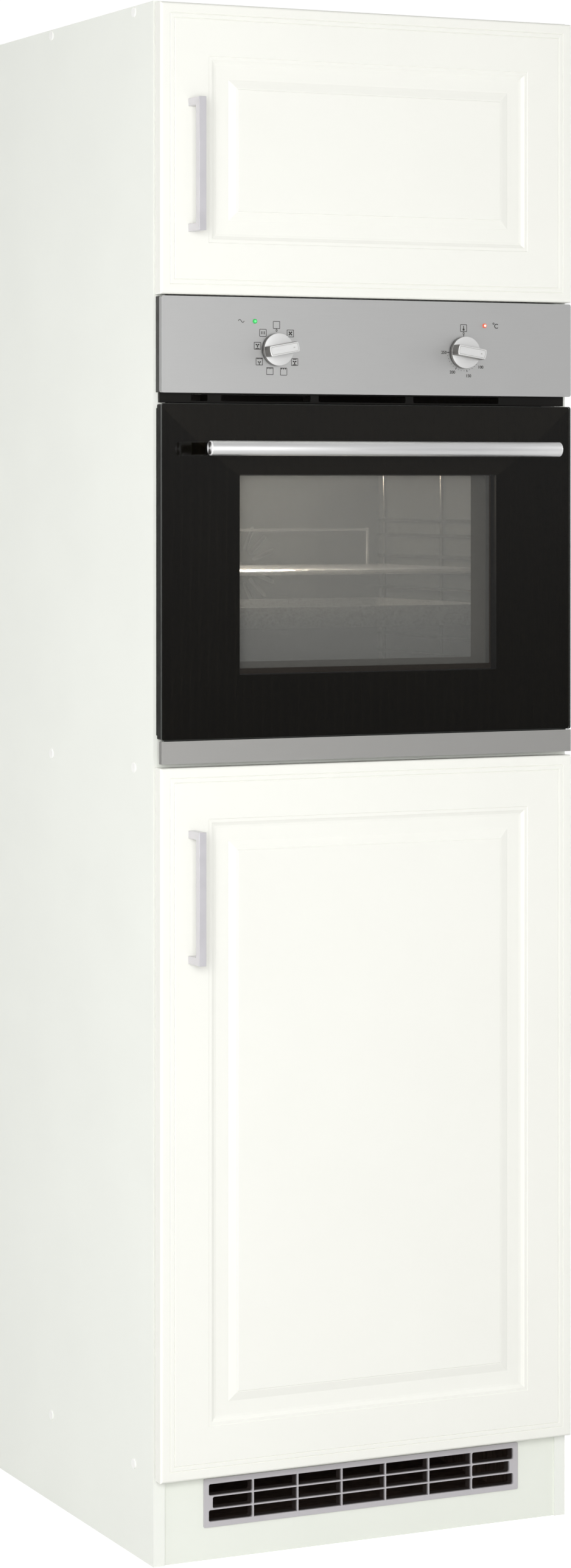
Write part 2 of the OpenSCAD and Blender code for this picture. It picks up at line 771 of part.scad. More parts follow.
module oven_front_frame() {
  lip_z = glass_z + 6;
  lip_h = glass_h - 12;
  cheek_t = 1.5;
  color("#2a2a2b") in_place() difference() {
    union() {
      block([-casing_x, frame_y, oven_z + 5], [casing_x, frame_back_y, fascia_z - vent_h]);
      both_sides() {
        block([casing_x - cheek_t, -cheek_t, lip_z], [casing_x, frame_y + tiny, lip_z + lip_h]);
        block([casing_x - tiny, -cheek_t, lip_z], [lip_x, 0, lip_z + lip_h]);
      }
    }
    plate(frame_y - past, frame_back_y + past) round_rect_at(cavity_mid_z, cavity_w, cavity_h, cavity_r);
    oven_screw_places() both_sides() {
      rod_y((inner_x + half_w) / 2, -3 * past, past, 0, oven_screw_d + 2 * drill);
      rod_y((inner_x + half_w) / 2, -3 * past, -oven_screw_seat, 0, 2 * oven_screw_d + 2 * fit);
    }
  }
}

module oven_fixing_screws() {
  color("#3a3a3b") in_place() oven_screw_places() both_sides() {
    rod_y((inner_x + half_w) / 2, -oven_screw_seat - tiny, oven_screw_l, 0, oven_screw_d);
    rod_y((inner_x + half_w) / 2, -oven_screw_seat - oven_screw_head_t, -oven_screw_seat, 0,
          2 * oven_screw_d);
  }
}

module control_fascia() {
  color(steel) in_place() difference() {
    plate(door_front_y, carrier_y) round_rect_at(fascia_mid_z, 2 * oven_half_w, fascia_h, corner_r);
    plate(door_front_y + sheet_t, carrier_y + past)
      round_rect_at(fascia_mid_z, 2 * (oven_half_w - sheet_t), fascia_h - 2 * sheet_t, corner_r - sheet_t);
    both_sides() {
      rod_y(knob_x, door_front_y - past, carrier_y, knob_z, spindle_d + 4);
      rod_y(lens_x, door_front_y - past, carrier_y, lens_z, lens_d + 2 * drill);
    }
  }
}

carrier_l = 40;
carrier_end_y = frame_back_y + carrier_l;

module control_carrier() {
  wide_x = oven_half_w - 0.5;
  box_x = casing_x - casing_t - fit;
  color(dark) in_place() difference() {
    union() {
      block([-wide_x, carrier_y, fascia_z + 0.5], [wide_x, -1, fascia_top_z - 0.5]);
      block([-box_x, -1 - tiny, fascia_z + 0.5], [box_x, carrier_end_y, casing_top_z - casing_t - fit]);
    }
    block([-box_x + carrier_t, carrier_y + carrier_t, fascia_z + 0.5 + carrier_t],
          [box_x - carrier_t, carrier_end_y + past, casing_top_z - casing_t - fit - carrier_t]);
    both_sides() {
      rod_y(knob_x, carrier_y - past, carrier_y + 2 * carrier_t, knob_z, spindle_d + 4);
      rod_y(lens_x, carrier_y - past, carrier_y + 2 * carrier_t, lens_z, lens_d + 2 * drill);
    }
  }
}

louvre_y = -6;
louvre_x = half_w - 6;
louvre_h = 12.8;
louvre_slot_h = 8.6;

module vent_louvre() {
  rib = 11.5;
  slots = [[-227, -250], [-208, -80.5], [-69, 57.5], [69, 196]];
  color(dark) in_place() difference() {
    union() {
      block([-louvre_x, louvre_y, fascia_z + 0.5 - louvre_h], [louvre_x, -1, fascia_z + 0.5]);
      block([-casing_x + 2, -1 - tiny, fascia_z + 0.5 - louvre_h],
            [casing_x - 2, frame_y - slide_gap, fascia_z + 0.5]);
    }
    for (slot = slots)
      plate(louvre_y - past, frame_y + past)
        translate([(slot[0] + slot[1]) / 2, fascia_z + 0.5 - louvre_h / 2])
          round_rect(abs(slot[1] - slot[0]), louvre_slot_h, 2);
  }
}

// a switch body behind the carrier with a bore for the knob's spindle
switch_size = 38;
switch_d = 30;

module switch_body(x, tint) {
  color(tint) in_place() difference() {
    union() {
      block([x - switch_size / 2, carrier_y + carrier_t, knob_z - switch_size / 2],
            [x + switch_size / 2, carrier_y + carrier_t + switch_d, knob_z + switch_size / 2]);
      rod_y(x, carrier_y, carrier_y + carrier_t + tiny, knob_z, spindle_d + 3.6);
    }
    rod_y(x, carrier_y - past, carrier_y + switch_d - 4, knob_z, spindle_d + 2 * drill);
  }
}

module function_switch() { switch_body(-knob_x, "#d8d3c4"); }
module thermostat() { switch_body(knob_x, "#9a9c9c"); }

module lens(x, tint) {
  color(tint) in_place() {
    rod_y(x, door_front_y - 0.6, carrier_y + 6, lens_z, lens_d);
    rod_y(x, carrier_y + carrier_t, carrier_y + 6, lens_z, lens_d + 3);
  }
}

module power_lens() { lens(-lens_x, "#2bdc55"); }
module heating_lens() { lens(lens_x, "#e23a2c"); }

// a flat gasket round the cavity's mouth
module door_seal() {
  color("#3b3836") in_place() difference() {
    plate(door_inner_y + slide_gap, frame_y)
      round_rect_at(cavity_mid_z, cavity_w + 26, cavity_h + 26, cavity_r + 13);
    plate(door_inner_y - past, frame_y + past)
      round_rect_at(cavity_mid_z, cavity_w + 10, cavity_h + 10, cavity_r + 5);
  }
}

// wire side rack at +X: three uprights on the wall, a guide wire below and above each level
rack_levels = [tray_lift - 90, tray_lift - 45, tray_lift, rack_lift, rack_lift + 50];

module side_rack(side) {
  color("#b4b6b8") in_place() mirror([side < 0 ? 1 : 0, 0, 0])
    for (y = [guide_front_y, (guide_front_y + guide_back_y) / 2, guide_back_y]) {
      rod_z(upright_x, y, cavity_z + 14, cavity_z + cavity_h - 30, guide_wire_d);
      for (z = [cavity_z + 45, cavity_z + cavity_h - 60])
        rod_x(upright_x, cavity_w / 2, y, z, guide_wire_d - 1);
      for (level = rack_levels, z = [-guide_drop, guide_rise])
        rod_x(guide_x, upright_x, y, cavity_z + level + z, guide_wire_d - 1);
    }
  color("#b4b6b8") in_place() mirror([side < 0 ? 1 : 0, 0, 0])
    for (level = rack_levels, z = [-guide_drop, guide_rise])
      rod_y(guide_x, guide_front_y - 3, guide_back_y + 3, cavity_z + level + z, guide_wire_d);
}

module left_side_rack() { side_rack(-1); }
module right_side_rack() { side_rack(1); }

// a tube that leaves the rear wall, runs forward and back in three loops under the roof
element_front_y = frame_back_y + 60;
element_back_y = cavity_back_y - 60;
element_pitch = 60;

module half_bend(x, y, front) {
  translate([x, y, element_z]) rotate([0, 0, front ? 180 : 0])
    rotate_extrude(angle = 180) translate([element_pitch / 2, 0]) circle(d = element_d);
}

module grill_element() {
  color("#4b4745") in_place() both_sides() {
    rod_y(element_x, element_front_y, cavity_back_y + 18, element_z, element_d);
    half_bend(element_x + element_pitch / 2, element_front_y, true);
    rod_y(element_x + element_pitch, element_front_y, element_back_y, element_z, element_d);
    half_bend(element_x + 1.5 * element_pitch, element_back_y, false);
    rod_y(element_x + 2 * element_pitch, element_front_y, element_back_y, element_z, element_d);
    // the outer legs meet in a cross bar
    rod_x(0, element_x + 2 * element_pitch, element_front_y, element_z, element_d - 2);
  }
}

// a dished sheet in front of the fan, with a ring of slots and corner posts to the rear wall
fan_cover_w = 250;
fan_cover_h = 230;
cover_slot_r = 42;
cover_slot_l = 36;

module fan_cover() {
  post = 8;
  color("#6a6c6f") in_place() difference() {
    union() {
      plate(fan_cover_y, fan_cover_y + 1.2) round_rect_at(cavity_mid_z, fan_cover_w, fan_cover_h, 14);
      for (x = [-1, 1], z = [-1, 1])
        rod_y(x * (fan_cover_w / 2 - 12), fan_cover_y, cavity_back_y,
              cavity_mid_z + z * (fan_cover_h / 2 - 12), post);
    }
    for (turn = [0:15])
      plate(fan_cover_y - past, fan_cover_y + 2)
        translate([0, cavity_mid_z]) rotate(turn * 22.5) translate([0, cover_slot_r])
          round_rect(6, cover_slot_l, 2.9);
    rod_y(0, fan_cover_y - past, fan_cover_y + 2, cavity_mid_z, 14);
  }
}

module convection_fan() {
  color("#b7b9bb") in_place() {
    rod_y(0, fan_y, fan_y + fan_disc_t, cavity_mid_z, fan_d - 2 * fan_disc_inset);
    rod_y(0, fan_y - 2, cavity_back_y + fan_shaft_l, cavity_mid_z, fan_shaft_d);
    for (turn = [0:fan_blades - 1]) translate([0, 0, cavity_mid_z]) rotate([0, turn * 360 / fan_blades, 0])
      block([-0.8, fan_y + fan_disc_t - tiny, fan_hub_r], [0.8, fan_y + fan_blade_h, fan_d / 2]);
  }
}

module fan_motor() {
  color("#7c7e80") in_place() difference() {
    union() {
      rod_y(0, cavity_back_y + 14, cavity_back_y + 52, cavity_mid_z, 70);
      for (x = [-1, 1], z = [-1, 1])
        rod_y(x * 26, cavity_back_y + cavity_t, cavity_back_y + 16, cavity_mid_z + z * 16, 6);
    }
    rod_y(0, cavity_back_y, cavity_back_y + fan_shaft_l + 2, cavity_mid_z, fan_shaft_d + 2 * drill);
  }
}

// a lens inside the cavity, screwed into its holder through the rear wall
module oven_lamp() {
  color("#f4ead0") in_place() {
    rod_y(lamp_x, cavity_back_y - 14, cavity_back_y, lamp_z, lamp_d);
    rod_y(lamp_x, cavity_back_y - tiny, cavity_back_y + 38, lamp_z, lamp_d - 8);
  }
}

terminal_w = 76;
terminal_h = 56;
terminal_t = 16;
terminal_edge = 50;
terminal_lift = 40;
gland_l = 18;
gland_d = 14;

// a box for the mains terminals, with the cable's gland below it
module terminal_box() {
  x = casing_x - terminal_edge - terminal_w / 2;
  z = oven_z + terminal_lift;
  color("#e9e6dc") in_place() {
    block([x - terminal_w / 2, casing_back_y, z],
          [x + terminal_w / 2, casing_back_y + terminal_t, z + terminal_h]);
    rod_z(x, casing_back_y + terminal_t / 2, z - gland_l, z + tiny, gland_d);
  }
}

// a cross-flow blower under the casing's lid, blowing forward to the louvre
rotor_d = 44;
rotor_l = 220;
rotor_room = 3;
rotor_shaft_d = 6;
blower_motor = 36;
blower_motor_l = 40;

module cooling_fan_housing() {
  wall = 1.5;
  half_l = rotor_l / 2 + rotor_room;
  out_r = rotor_d / 2 + rotor_room;
  color("#8d8f90") in_place() difference() {
    union() {
      block([-half_l - wall, cooling_y - out_r - wall, cooling_z - out_r - wall],
            [half_l + wall, cooling_y + out_r + wall, cooling_z + out_r + wall]);
      // two tabs hang it from the casing's lid
      both_sides() block([half_l - 20, cooling_y - out_r, cooling_z + out_r],
                         [half_l, cooling_y - out_r + wall, casing_top_z - casing_t]);
      block([half_l, cooling_y - blower_motor / 2, cooling_z - blower_motor / 2],
            [half_l + blower_motor_l, cooling_y + blower_motor / 2, cooling_z + blower_motor / 2]);
    }
    block([-half_l, cooling_y - out_r - 2 * wall, cooling_z - out_r],
          [half_l, cooling_y + out_r, cooling_z + out_r]);
    rod_x(-half_l - 2 * wall, half_l + blower_motor_l - 10, cooling_y, cooling_z,
          rotor_shaft_d + 2 * drill);
  }
}

module cooling_fan_rotor() {
  color("#9fa1a2") in_place() {
    rod_x(-rotor_l / 2 - rotor_room - 1.2, rotor_l / 2 + rotor_room + blower_motor_l - 12, cooling_y,
          cooling_z, rotor_shaft_d);
    for (x = [-rotor_l / 2, 0, rotor_l / 2 - 1.5])
      rod_x(x, x + 1.5, cooling_y, cooling_z, rotor_d);
    for (turn = [0:11]) translate([0, cooling_y, cooling_z]) rotate([turn * 30, 0, 0])
      block([-rotor_l / 2, -0.5, rotor_d / 2 - 7], [rotor_l / 2, 0.5, rotor_d / 2 - 0.2]);
  }
}

// ---------- oven door ----------

module oven_hinge_brackets() {
  half_t = hinge_bracket_t / 2;
  eye_d = oven_pin_d + 2.6;
  color("#8f9191") in_place() both_sides() difference() {
    union() {
      rod_x(hinge_bracket_x - half_t, hinge_bracket_x + half_t, axis_y, axis_z, eye_d);
      block([hinge_bracket_x - half_t, axis_y, axis_z + 1],
            [hinge_bracket_x + half_t, frame_y, axis_z + 8]);
      block([hinge_bracket_x - 12, frame_y - 2, axis_z - 4],
            [hinge_bracket_x + 12, frame_y, axis_z + 20]);
      block([hinge_bracket_x - half_t, axis_y - eye_d / 2, axis_z],
            [hinge_bracket_x + half_t, axis_y + tiny, axis_z + 2]);
    }
    rod_x(hinge_bracket_x - hinge_bracket_t, hinge_bracket_x + hinge_bracket_t, axis_y, axis_z,
          oven_pin_d + 2 * pin_play);
  }
}

module glass_outline() { round_rect_at(glass_mid_z, 2 * oven_half_w, glass_h, corner_r); }

module door_outer_glass() {
  color("#18171a", 0.55) in_place() difference() {
    plate(door_front_y, glass_back_y) glass_outline();
    both_sides() rod_y(bar_l / 2 - bar_end, door_front_y - past, glass_back_y + past, bar_z, 6.2);
  }
}

module door_glass_print() {
  color("#0b0b0b") in_place() difference() {
    plate(glass_back_y, print_back_y) round_rect_at(glass_mid_z, 2 * oven_half_w - 1, glass_h - 1, corner_r);
    plate(glass_back_y - past, print_back_y + past) round_rect_at(window_mid_z, window_w, window_h, 2);
    both_sides() rod_y(bar_l / 2 - bar_end, glass_back_y - past, print_back_y + past, bar_z, 6.2);
  }
}

middle_w = window_w - 2 * middle_inset;
middle_h = window_h - 2 * middle_inset;
inner_w = window_w - 2 * inner_inset_x;
inner_h = window_h - 2 * inner_inset_z;

// a rectangular tube in Y, with a wall outside the given opening
module tunnel(y0, y1, w, h) {
  difference() {
    plate(y0, y1) round_rect_at(window_mid_z, w + 2 * door_sheet, h + 2 * door_sheet, 2.5);
    plate(y0 - past, y1 + past) round_rect_at(window_mid_z, w, h, 1.5);
  }
}

module sheet_ring(y0, w, h, z, hole_w, hole_h, hole_z) {
  difference() {
    plate(y0, y0 + door_sheet) round_rect_at(z, w, h, 2);
    plate(y0 - past, y0 + door_sheet + past) round_rect_at(hole_z, hole_w, hole_h, 1.5);
  }
}

module rim(y0, y1, w, h, z) {
  difference() {
    plate(y0, y1) round_rect_at(z, w, h, 2);
    plate(y0 - past, y1 + past) round_rect_at(z, w - 2 * door_sheet, h - 2 * door_sheet, 1);
  }
}

module door_frame() {
  front_y = print_back_y;
  middle_back_y = middle_pane_y + pane_t;
  color(dark) in_place() difference() {
    union() {
      sheet_ring(front_y, 2 * tray_x, tray_h, tray_mid_z, middle_w, middle_h, window_mid_z);
      rim(front_y, tray_back_y, 2 * tray_x, tray_h, tray_mid_z);
      tunnel(front_y, middle_pane_y, middle_w, middle_h);
      sheet_ring(tray_back_y - door_sheet, 2 * tray_x, tray_h, tray_mid_z, 2 * plug_x - 2, plug_h - 2,
                 plug_mid_z);
      rim(tray_back_y - door_sheet, plug_back_y, 2 * plug_x, plug_h, plug_mid_z);
      sheet_ring(plug_back_y - door_sheet, 2 * plug_x, plug_h, plug_mid_z, inner_w, inner_h,
                 window_mid_z);
      tunnel(middle_back_y, plug_back_y, inner_w, inner_h);
      // the apron that carries the bottom trim and the hinge ears
      block([-tray_x + 4, front_y, trim_z + 2.5],
            [tray_x - 4, front_y + door_sheet, glass_z + 6]);
    }
    both_sides() {
      block([hinge_bracket_x - hinge_bracket_t / 2 - 1, front_y - past, axis_z - 6],
            [hinge_bracket_x + hinge_bracket_t / 2 + 1, front_y + 2 * door_sheet, axis_z + 8]);
      rod_y(bar_l / 2 - bar_end, front_y - past, front_y + door_sheet + past, bar_z, 6.2);
    }
  }
}

// the middle pane lies between the two tunnels
module door_middle_glass() {
  color("#8d9a96", 0.4) in_place()
    plate(middle_pane_y, middle_pane_y + pane_t)
      round_rect_at(window_mid_z, middle_w + 24, middle_h + 24, 4);
}

module door_inner_glass() {
  color("#8d9a96", 0.4) in_place()
    plate(plug_back_y, plug_back_y + pane_t) round_rect_at(plug_mid_z, 2 * plug_x - 4, plug_h - 4, 4);
}

// a folded channel, closed at its ends and open at the back
module door_bottom_trim() {
  top_z = trim_z + trim_h;
  back_y = door_front_y + fascia_d;
  color(steel) in_place() {
    difference() {
      block([-oven_half_w, door_front_y, trim_z], [oven_half_w, back_y, top_z]);
      block([-oven_half_w + sheet_t, door_front_y + sheet_t, trim_z + sheet_t],
            [oven_half_w - sheet_t, back_y + past, top_z - sheet_t]);
      block([-oven_half_w + sheet_t, print_back_y - 0.3, top_z - sheet_t - past],
            [oven_half_w - sheet_t, back_y + past, top_z + past]);
    }
    for (x = [-1, 0, 1] * (oven_half_w - 97.5))
      rod_y(x, door_front_y + sheet_t - tiny, print_back_y, trim_z + trim_h / 2, 8);
  }
}

module oven_handle_bar() {
  cap = 2;
  color("#cfcecb") in_place() {
    rod_x(-bar_l / 2 + cap, bar_l / 2 - cap, bar_y, bar_z, bar_d);
    both_sides() translate([bar_l / 2 - cap, bar_y, bar_z]) rotate([0, 90, 0])
      rotate_extrude() polygon([[0, 0], [bar_d / 2, 0], [bar_d / 2 - 0.2, cap * 0.6],
                                [bar_d / 2 - 1.4, cap], [0, cap]]);
  }
}

module oven_handle_brackets() {
  arm_w = 12;
  arm_h = 15;
  color(dark) in_place() both_sides() translate([bar_l / 2 - bar_end, 0, 0]) {
    difference() {
      union() {
        block([-arm_w / 2, bar_y, bar_z - arm_h / 2], [arm_w / 2, door_front_y, bar_z + arm_h / 2]);
        rod_y(0, door_front_y - tiny, print_back_y + door_sheet, bar_z, 6);
      }
      rod_x(-arm_w, arm_w, bar_y, bar_z, bar_d);
    }
  }
}

// ears on the door's apron with the pin through them and the bracket's eye
module oven_hinge_pins() {
  inner = hinge_bracket_t / 2 + 0.5;
  ear_front_y = print_back_y + door_sheet;
  ear_d = 2 * (axis_y - ear_front_y);
  color("#8f9191") in_place() both_sides() translate([hinge_bracket_x, 0, 0]) {
    for (side = [-1, 1]) translate([side > 0 ? inner : -inner - ear_t, 0, 0]) {
      block([0, ear_front_y, axis_z], [ear_t, axis_y + ear_d / 2, glass_z - 1]);
      rod_x(0, ear_t, axis_y, axis_z, ear_d);
    }
    rod_x(-inner - ear_t, inner + ear_t, axis_y, axis_z, oven_pin_d);
  }
}

// ---------- knobs ----------

// a disc with a proud straight grip, its spindle reaching into the switch behind the fascia
module knob(x, tilt) {
  base_y = door_front_y - knob_gap;
  face_y = base_y - knob_base_t;
  chamfer = 0.8;
  color("#cfcecd") in_place() translate([x, 0, knob_z]) rotate([0, -tilt, 0]) {
    rod_y(0, face_y, base_y, 0, knob_d);
    intersection() {
      rod_y(0, face_y - grip_h, face_y + tiny, 0, knob_d);
      translate([0, 0, -grip_w / 2]) linear_extrude(grip_w)
        polygon([[-knob_d, face_y + tiny], [-knob_d, face_y - grip_h], [knob_d, face_y - grip_h],
                 [knob_d, face_y + tiny]]);
      bar_x(-knob_d, knob_d)
        polygon([[face_y + tiny, -grip_w / 2], [face_y - grip_h + chamfer, -grip_w / 2],
                 [face_y - grip_h, -grip_w / 2 + chamfer], [face_y - grip_h, grip_w / 2 - chamfer],
                 [face_y - grip_h + chamfer, grip_w / 2], [face_y + tiny, grip_w / 2]]);
    }
    rod_y(0, base_y - tiny, carrier_y + switch_d - 8, 0, spindle_d);
  }
}

module function_knob() { knob(-knob_x, function_tilt); }
module temperature_knob() { knob(knob_x, temperature_tilt); }

// ---------- rack and tray ----------

// a quarter bend of frame wire in the rack's plane, its centre at the origin
module corner_bend(turn, r) {
  rotate([0, 0, turn]) rotate_extrude(angle = 90) translate([r, 0]) circle(d = frame_wire_d);
}

module wire_rack() {
  bend = 12;
  x = guide_x - bend;
  y0 = rack_front_y + bend;
  y1 = rack_back_y - bend;
  first_x = cross_wire_edge - guide_x;
  step = -2 * first_x / (cross_wires - 1);
  stop_x = guide_x - 30;
  stop_d = frame_wire_d - 1;
  color("#c6c8ca") in_place() translate([0, 0, rack_z]) {
    both_sides() {
      rod_y(guide_x, y0, y1, 0, frame_wire_d);
      translate([x, y1, 0]) corner_bend(0, bend);
      translate([x, y0, 0]) corner_bend(-90, bend);
      // the raised stop at the back
      rod_z(stop_x, rack_back_y, 0, rack_stop_h, stop_d);
    }
    for (y = [rack_front_y, rack_back_y]) rod_x(-x, x, y, 0, frame_wire_d);
    for (i = [0:cross_wires - 1])
      rod_y(first_x + i * step, rack_front_y, rack_back_y, cross_wire_d / 2, cross_wire_d);
    rod_x(-guide_x, guide_x, (y0 + y1) / 2, -0.5, cross_wire_d + 1);
    rod_x(-stop_x, stop_x, rack_back_y, rack_stop_h - stop_d / 2, stop_d - 0.6);
  }
}

// a pan with a flat rim that lies on the guides
module baking_tray() {
  wall = 1;
  rim_t = 3;
  rim_z = tray_z - frame_wire_d / 2;
  pan_w = 2 * guide_x - 18;
  pan_l = rack_back_y - rack_front_y - 18;
  top_z = rim_z + rim_t;
  floor_z = top_z - tray_d;
  mid_y = (rack_front_y + rack_back_y) / 2;
  color("#2c2e30") in_place() translate([0, mid_y, 0]) difference() {
    union() {
      translate([0, 0, floor_z]) linear_extrude(tray_d) round_rect(pan_w, pan_l, 14);
      translate([0, 0, rim_z]) linear_extrude(rim_t)
        round_rect(2 * guide_x + frame_wire_d, rack_back_y - rack_front_y, 8);
    }
    translate([0, 0, floor_z + wall]) linear_extrude(tray_d)
      round_rect(pan_w - 2 * wall, pan_l - 2 * wall, 14 - wall);
  }
}

left_side_panel();
right_side_panel();
top_panel();
bottom_panel();
oven_shelf();
compartment_shelf();
compartment_back_panel();
rear_cross_rail();
plinth_panel();
vent_grille();
connecting_screws();
screw_cover_caps();
hinge_mounting_plates();
hinge_arms();
upper_door_panel();
upper_door_handle();
upper_handle_screws();
upper_hinge_cups();
lower_door_panel();
lower_door_handle();
lower_handle_screws();
lower_hinge_cups();
oven_casing();
oven_cavity();
oven_front_frame();
oven_fixing_screws();
control_fascia();
control_carrier();
vent_louvre();
function_switch();
thermostat();
power_lens();
heating_lens();
door_seal();
left_side_rack();
right_side_rack();
grill_element();
fan_cover();
convection_fan();
fan_motor();
oven_lamp();
terminal_box();
cooling_fan_housing();
cooling_fan_rotor();
oven_hinge_brackets();
door_outer_glass();
door_glass_print();
door_frame();
door_middle_glass();
door_inner_glass();
door_bottom_trim();
oven_handle_bar();
oven_handle_brackets();
oven_hinge_pins();
function_knob();
temperature_knob();
wire_rack();
baking_tray();
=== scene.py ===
"""Looks for the tall oven housing unit: camera, light, materials and the finely shaped pieces."""
import math

import bmesh
import bpy
from mathutils import Matrix, Vector


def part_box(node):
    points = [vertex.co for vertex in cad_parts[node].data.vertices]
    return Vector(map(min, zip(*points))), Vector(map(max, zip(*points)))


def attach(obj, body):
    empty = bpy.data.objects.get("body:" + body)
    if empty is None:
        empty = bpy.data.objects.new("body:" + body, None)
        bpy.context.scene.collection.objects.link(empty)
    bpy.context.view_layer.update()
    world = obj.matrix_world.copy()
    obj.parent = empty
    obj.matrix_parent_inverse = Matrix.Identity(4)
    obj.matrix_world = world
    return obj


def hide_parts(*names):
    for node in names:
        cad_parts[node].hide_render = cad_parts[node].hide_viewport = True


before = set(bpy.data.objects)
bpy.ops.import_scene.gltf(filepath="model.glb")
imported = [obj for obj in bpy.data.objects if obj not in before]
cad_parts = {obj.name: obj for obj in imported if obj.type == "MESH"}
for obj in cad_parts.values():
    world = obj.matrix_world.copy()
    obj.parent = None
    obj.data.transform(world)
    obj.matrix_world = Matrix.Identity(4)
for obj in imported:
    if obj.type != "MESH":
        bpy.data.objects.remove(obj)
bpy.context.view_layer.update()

# ---------- places, in mm: X from the middle, Y from the carcass front, Z from the floor ----------

MM = 0.001
FRONT_Y = -234.5  # where the carcass front stands in the row's frame
REAR = 550.0  # the carcass's rear edges
FACE = -21.0  # the front of the cabinet doors, the fascia and the oven glass
GLASS_T, GLASS_W, GLASS_H, GLASS_Z = 4.0, 595, 430, 1271
PANE_LOW, PANE_TOP = 1130, 1420  # between these heights the inner pane's haze gets paler, painted light towards the top
BAR_Y, BAR_Z = -71.5, 1428.5
KNOB_X, KNOB_Z = 136, 1556.25
LENS_X, LENS_Z = 167, 1592.25
INK_Y = FACE - 0.06
BOX = 9.0  # side of a symbol's square


def at(x, y, z):
    """A point given in these millimetres, in the row's metres."""
    return Vector((x * MM, (y + FRONT_Y) * MM, z * MM))


# ---------- material tools ----------

def srgb(*rgb):
    """0-255 screen values to linear colour."""
    lin = [c / 255 / 12.92 if c <= 10 else ((c / 255 + 0.055) / 1.055) ** 2.4 for c in rgb]
    return (*lin, 1.0)


class Mat:
    """A small builder round one Principled material."""

    def __init__(self, name, color, rough=0.5, metal=0.0, **sockets):
        self.mat = bpy.data.materials.new(name)
        self.mat.use_nodes = True
        self.nt = self.mat.node_tree
        self.bsdf = self.nt.nodes["Principled BSDF"]
        self.color = color
        self.set("Base Color", color)
        self.set("Roughness", rough)
        self.set("Metallic", metal)
        for key, value in sockets.items():
            self.set(key.replace("_", " "), value)

    def set(self, socket, value):
        self.bsdf.inputs[socket].default_value = value

    def drive(self, socket, out):
        """Feeds one of the shader's sockets from a node's output."""
        self.join(out, self.bsdf.inputs[socket])

    def node(self, kind, **props):
        n = self.nt.nodes.new("ShaderNode" + kind)
        for key, value in props.items():
            setattr(n, key, value)
        return n

    def join(self, out, into):
        self.nt.links.new(out, into)

    def place(self):
        """The X, Y and Z outputs of the point on the piece, in metres."""
        tc = self.node("TexCoord")
        xyz = self.node("SeparateXYZ")
        self.join(tc.outputs["Object"], xyz.inputs["Vector"])
        return xyz.outputs

    def coords(self, scale=(1, 1, 1)):
        tc = self.node("TexCoord")
        m = self.node("Mapping")
        m.inputs["Scale"].default_value = scale
        self.join(tc.outputs["Object"], m.inputs["Vector"])
        return m.outputs["Vector"]

    def noise(self, scale, stretch=(1, 1, 1), detail=3.0):
        n = self.node("TexNoise")
        n.inputs["Scale"].default_value = scale
        n.inputs["Detail"].default_value = detail
        self.join(self.coords(stretch), n.inputs["Vector"])
        return n.outputs["Fac"]

    def calc(self, operation, *values):
        """One Math node; each value is a number or an output."""
        n = self.node("Math", operation=operation)
        for socket, v in zip(n.inputs, values):
            if isinstance(v, (int, float)):
                socket.default_value = v
            else:
                self.join(v, socket)
        return n.outputs[0]

    def remap(self, value, low, high, lo_in=0.3, hi_in=0.7):
        n = self.node("MapRange")
        for key, v in (("From Min", lo_in), ("From Max", hi_in), ("To Min", low), ("To Max", high)):
            n.inputs[key].default_value = v
        self.join(value, n.inputs["Value"])
        return n.outputs["Result"]

    def blend(self, fac, a, b):
        """A colour between a and b, which are colours or outputs."""
        n = self.node("Mix", data_type="RGBA")
        self.join(fac, n.inputs["Factor"])
        for socket, v in ((n.inputs[6], a), (n.inputs[7], b)):
            if isinstance(v, tuple):
                socket.default_value = v
            else:
                self.join(v, socket)
        return n.outputs[2]

    def cover(self, fac, color):
        """Lays a colour over the present one, as far as fac says."""
        present = self.bsdf.inputs["Base Color"].links[0].from_socket
        self.drive("Base Color", self.blend(fac, present, color))

    def vary(self, scale, amount, stretch=(1, 1, 1), rough=None, detail=3.0):
        """Colour that wanders by amount, and roughness between two values."""
        fac = self.remap(self.noise(scale, stretch, detail), 0.0, 1.0)
        low = tuple(c * (1 - amount) for c in self.color[:3]) + (1.0,)
        high = tuple(min(1.0, c * (1 + amount)) for c in self.color[:3]) + (1.0,)
        self.drive("Base Color", self.blend(fac, low, high))
        if rough:
            self.drive("Roughness", self.remap(fac, *rough, 0, 1))
        return self

    def bump(self, scale, strength, distance=0.0002, stretch=(1, 1, 1), detail=3.0):
        n = self.node("Bump")
        n.inputs["Strength"].default_value = strength
        n.inputs["Distance"].default_value = distance
        self.join(self.noise(scale, stretch, detail), n.inputs["Height"])
        self.drive("Normal", n.outputs["Normal"])
        return self


def lamp_like(name, color, glow, strength, rough, amount, scale=300):
    """A material that glows a little: lens, lit core or lamp; rough is its lowest and highest roughness."""
    m = Mat(name, color, sum(rough) / 2, Emission_Color=glow, Emission_Strength=strength)
    return m.vary(scale, amount, rough=rough)


def painted_shade_inside(m, low, high):
    """Painted shade on the inside faces of a sheet-metal box from corner low to corner high: dark and not
    metallic.
    """
    inside = 1.0
    for axis, lo, hi in zip(m.place(), low, high):
        off = m.calc("ABSOLUTE", m.calc("SUBTRACT", axis, (lo + hi) / 2))
        inside = m.calc("MULTIPLY", m.calc("LESS_THAN", off, (hi - lo) / 2 - 0.6 * MM), inside)
    m.cover(inside, m.blend(m.noise(300), srgb(16, 15, 14), srgb(34, 32, 30)))
    metal = m.bsdf.inputs["Metallic"].default_value
    m.drive("Metallic", m.remap(inside, metal, 0.0, 0, 1))


def shaded_depth(m, front, dark):
    """Painted shade: openings that darken from just behind the front face at Y = front, as shade falls in
    them.
    """
    m.cover(m.remap(m.place()["Y"], 0.0, 1.0, front + 1.6 * MM, front + 5.0 * MM), dark)


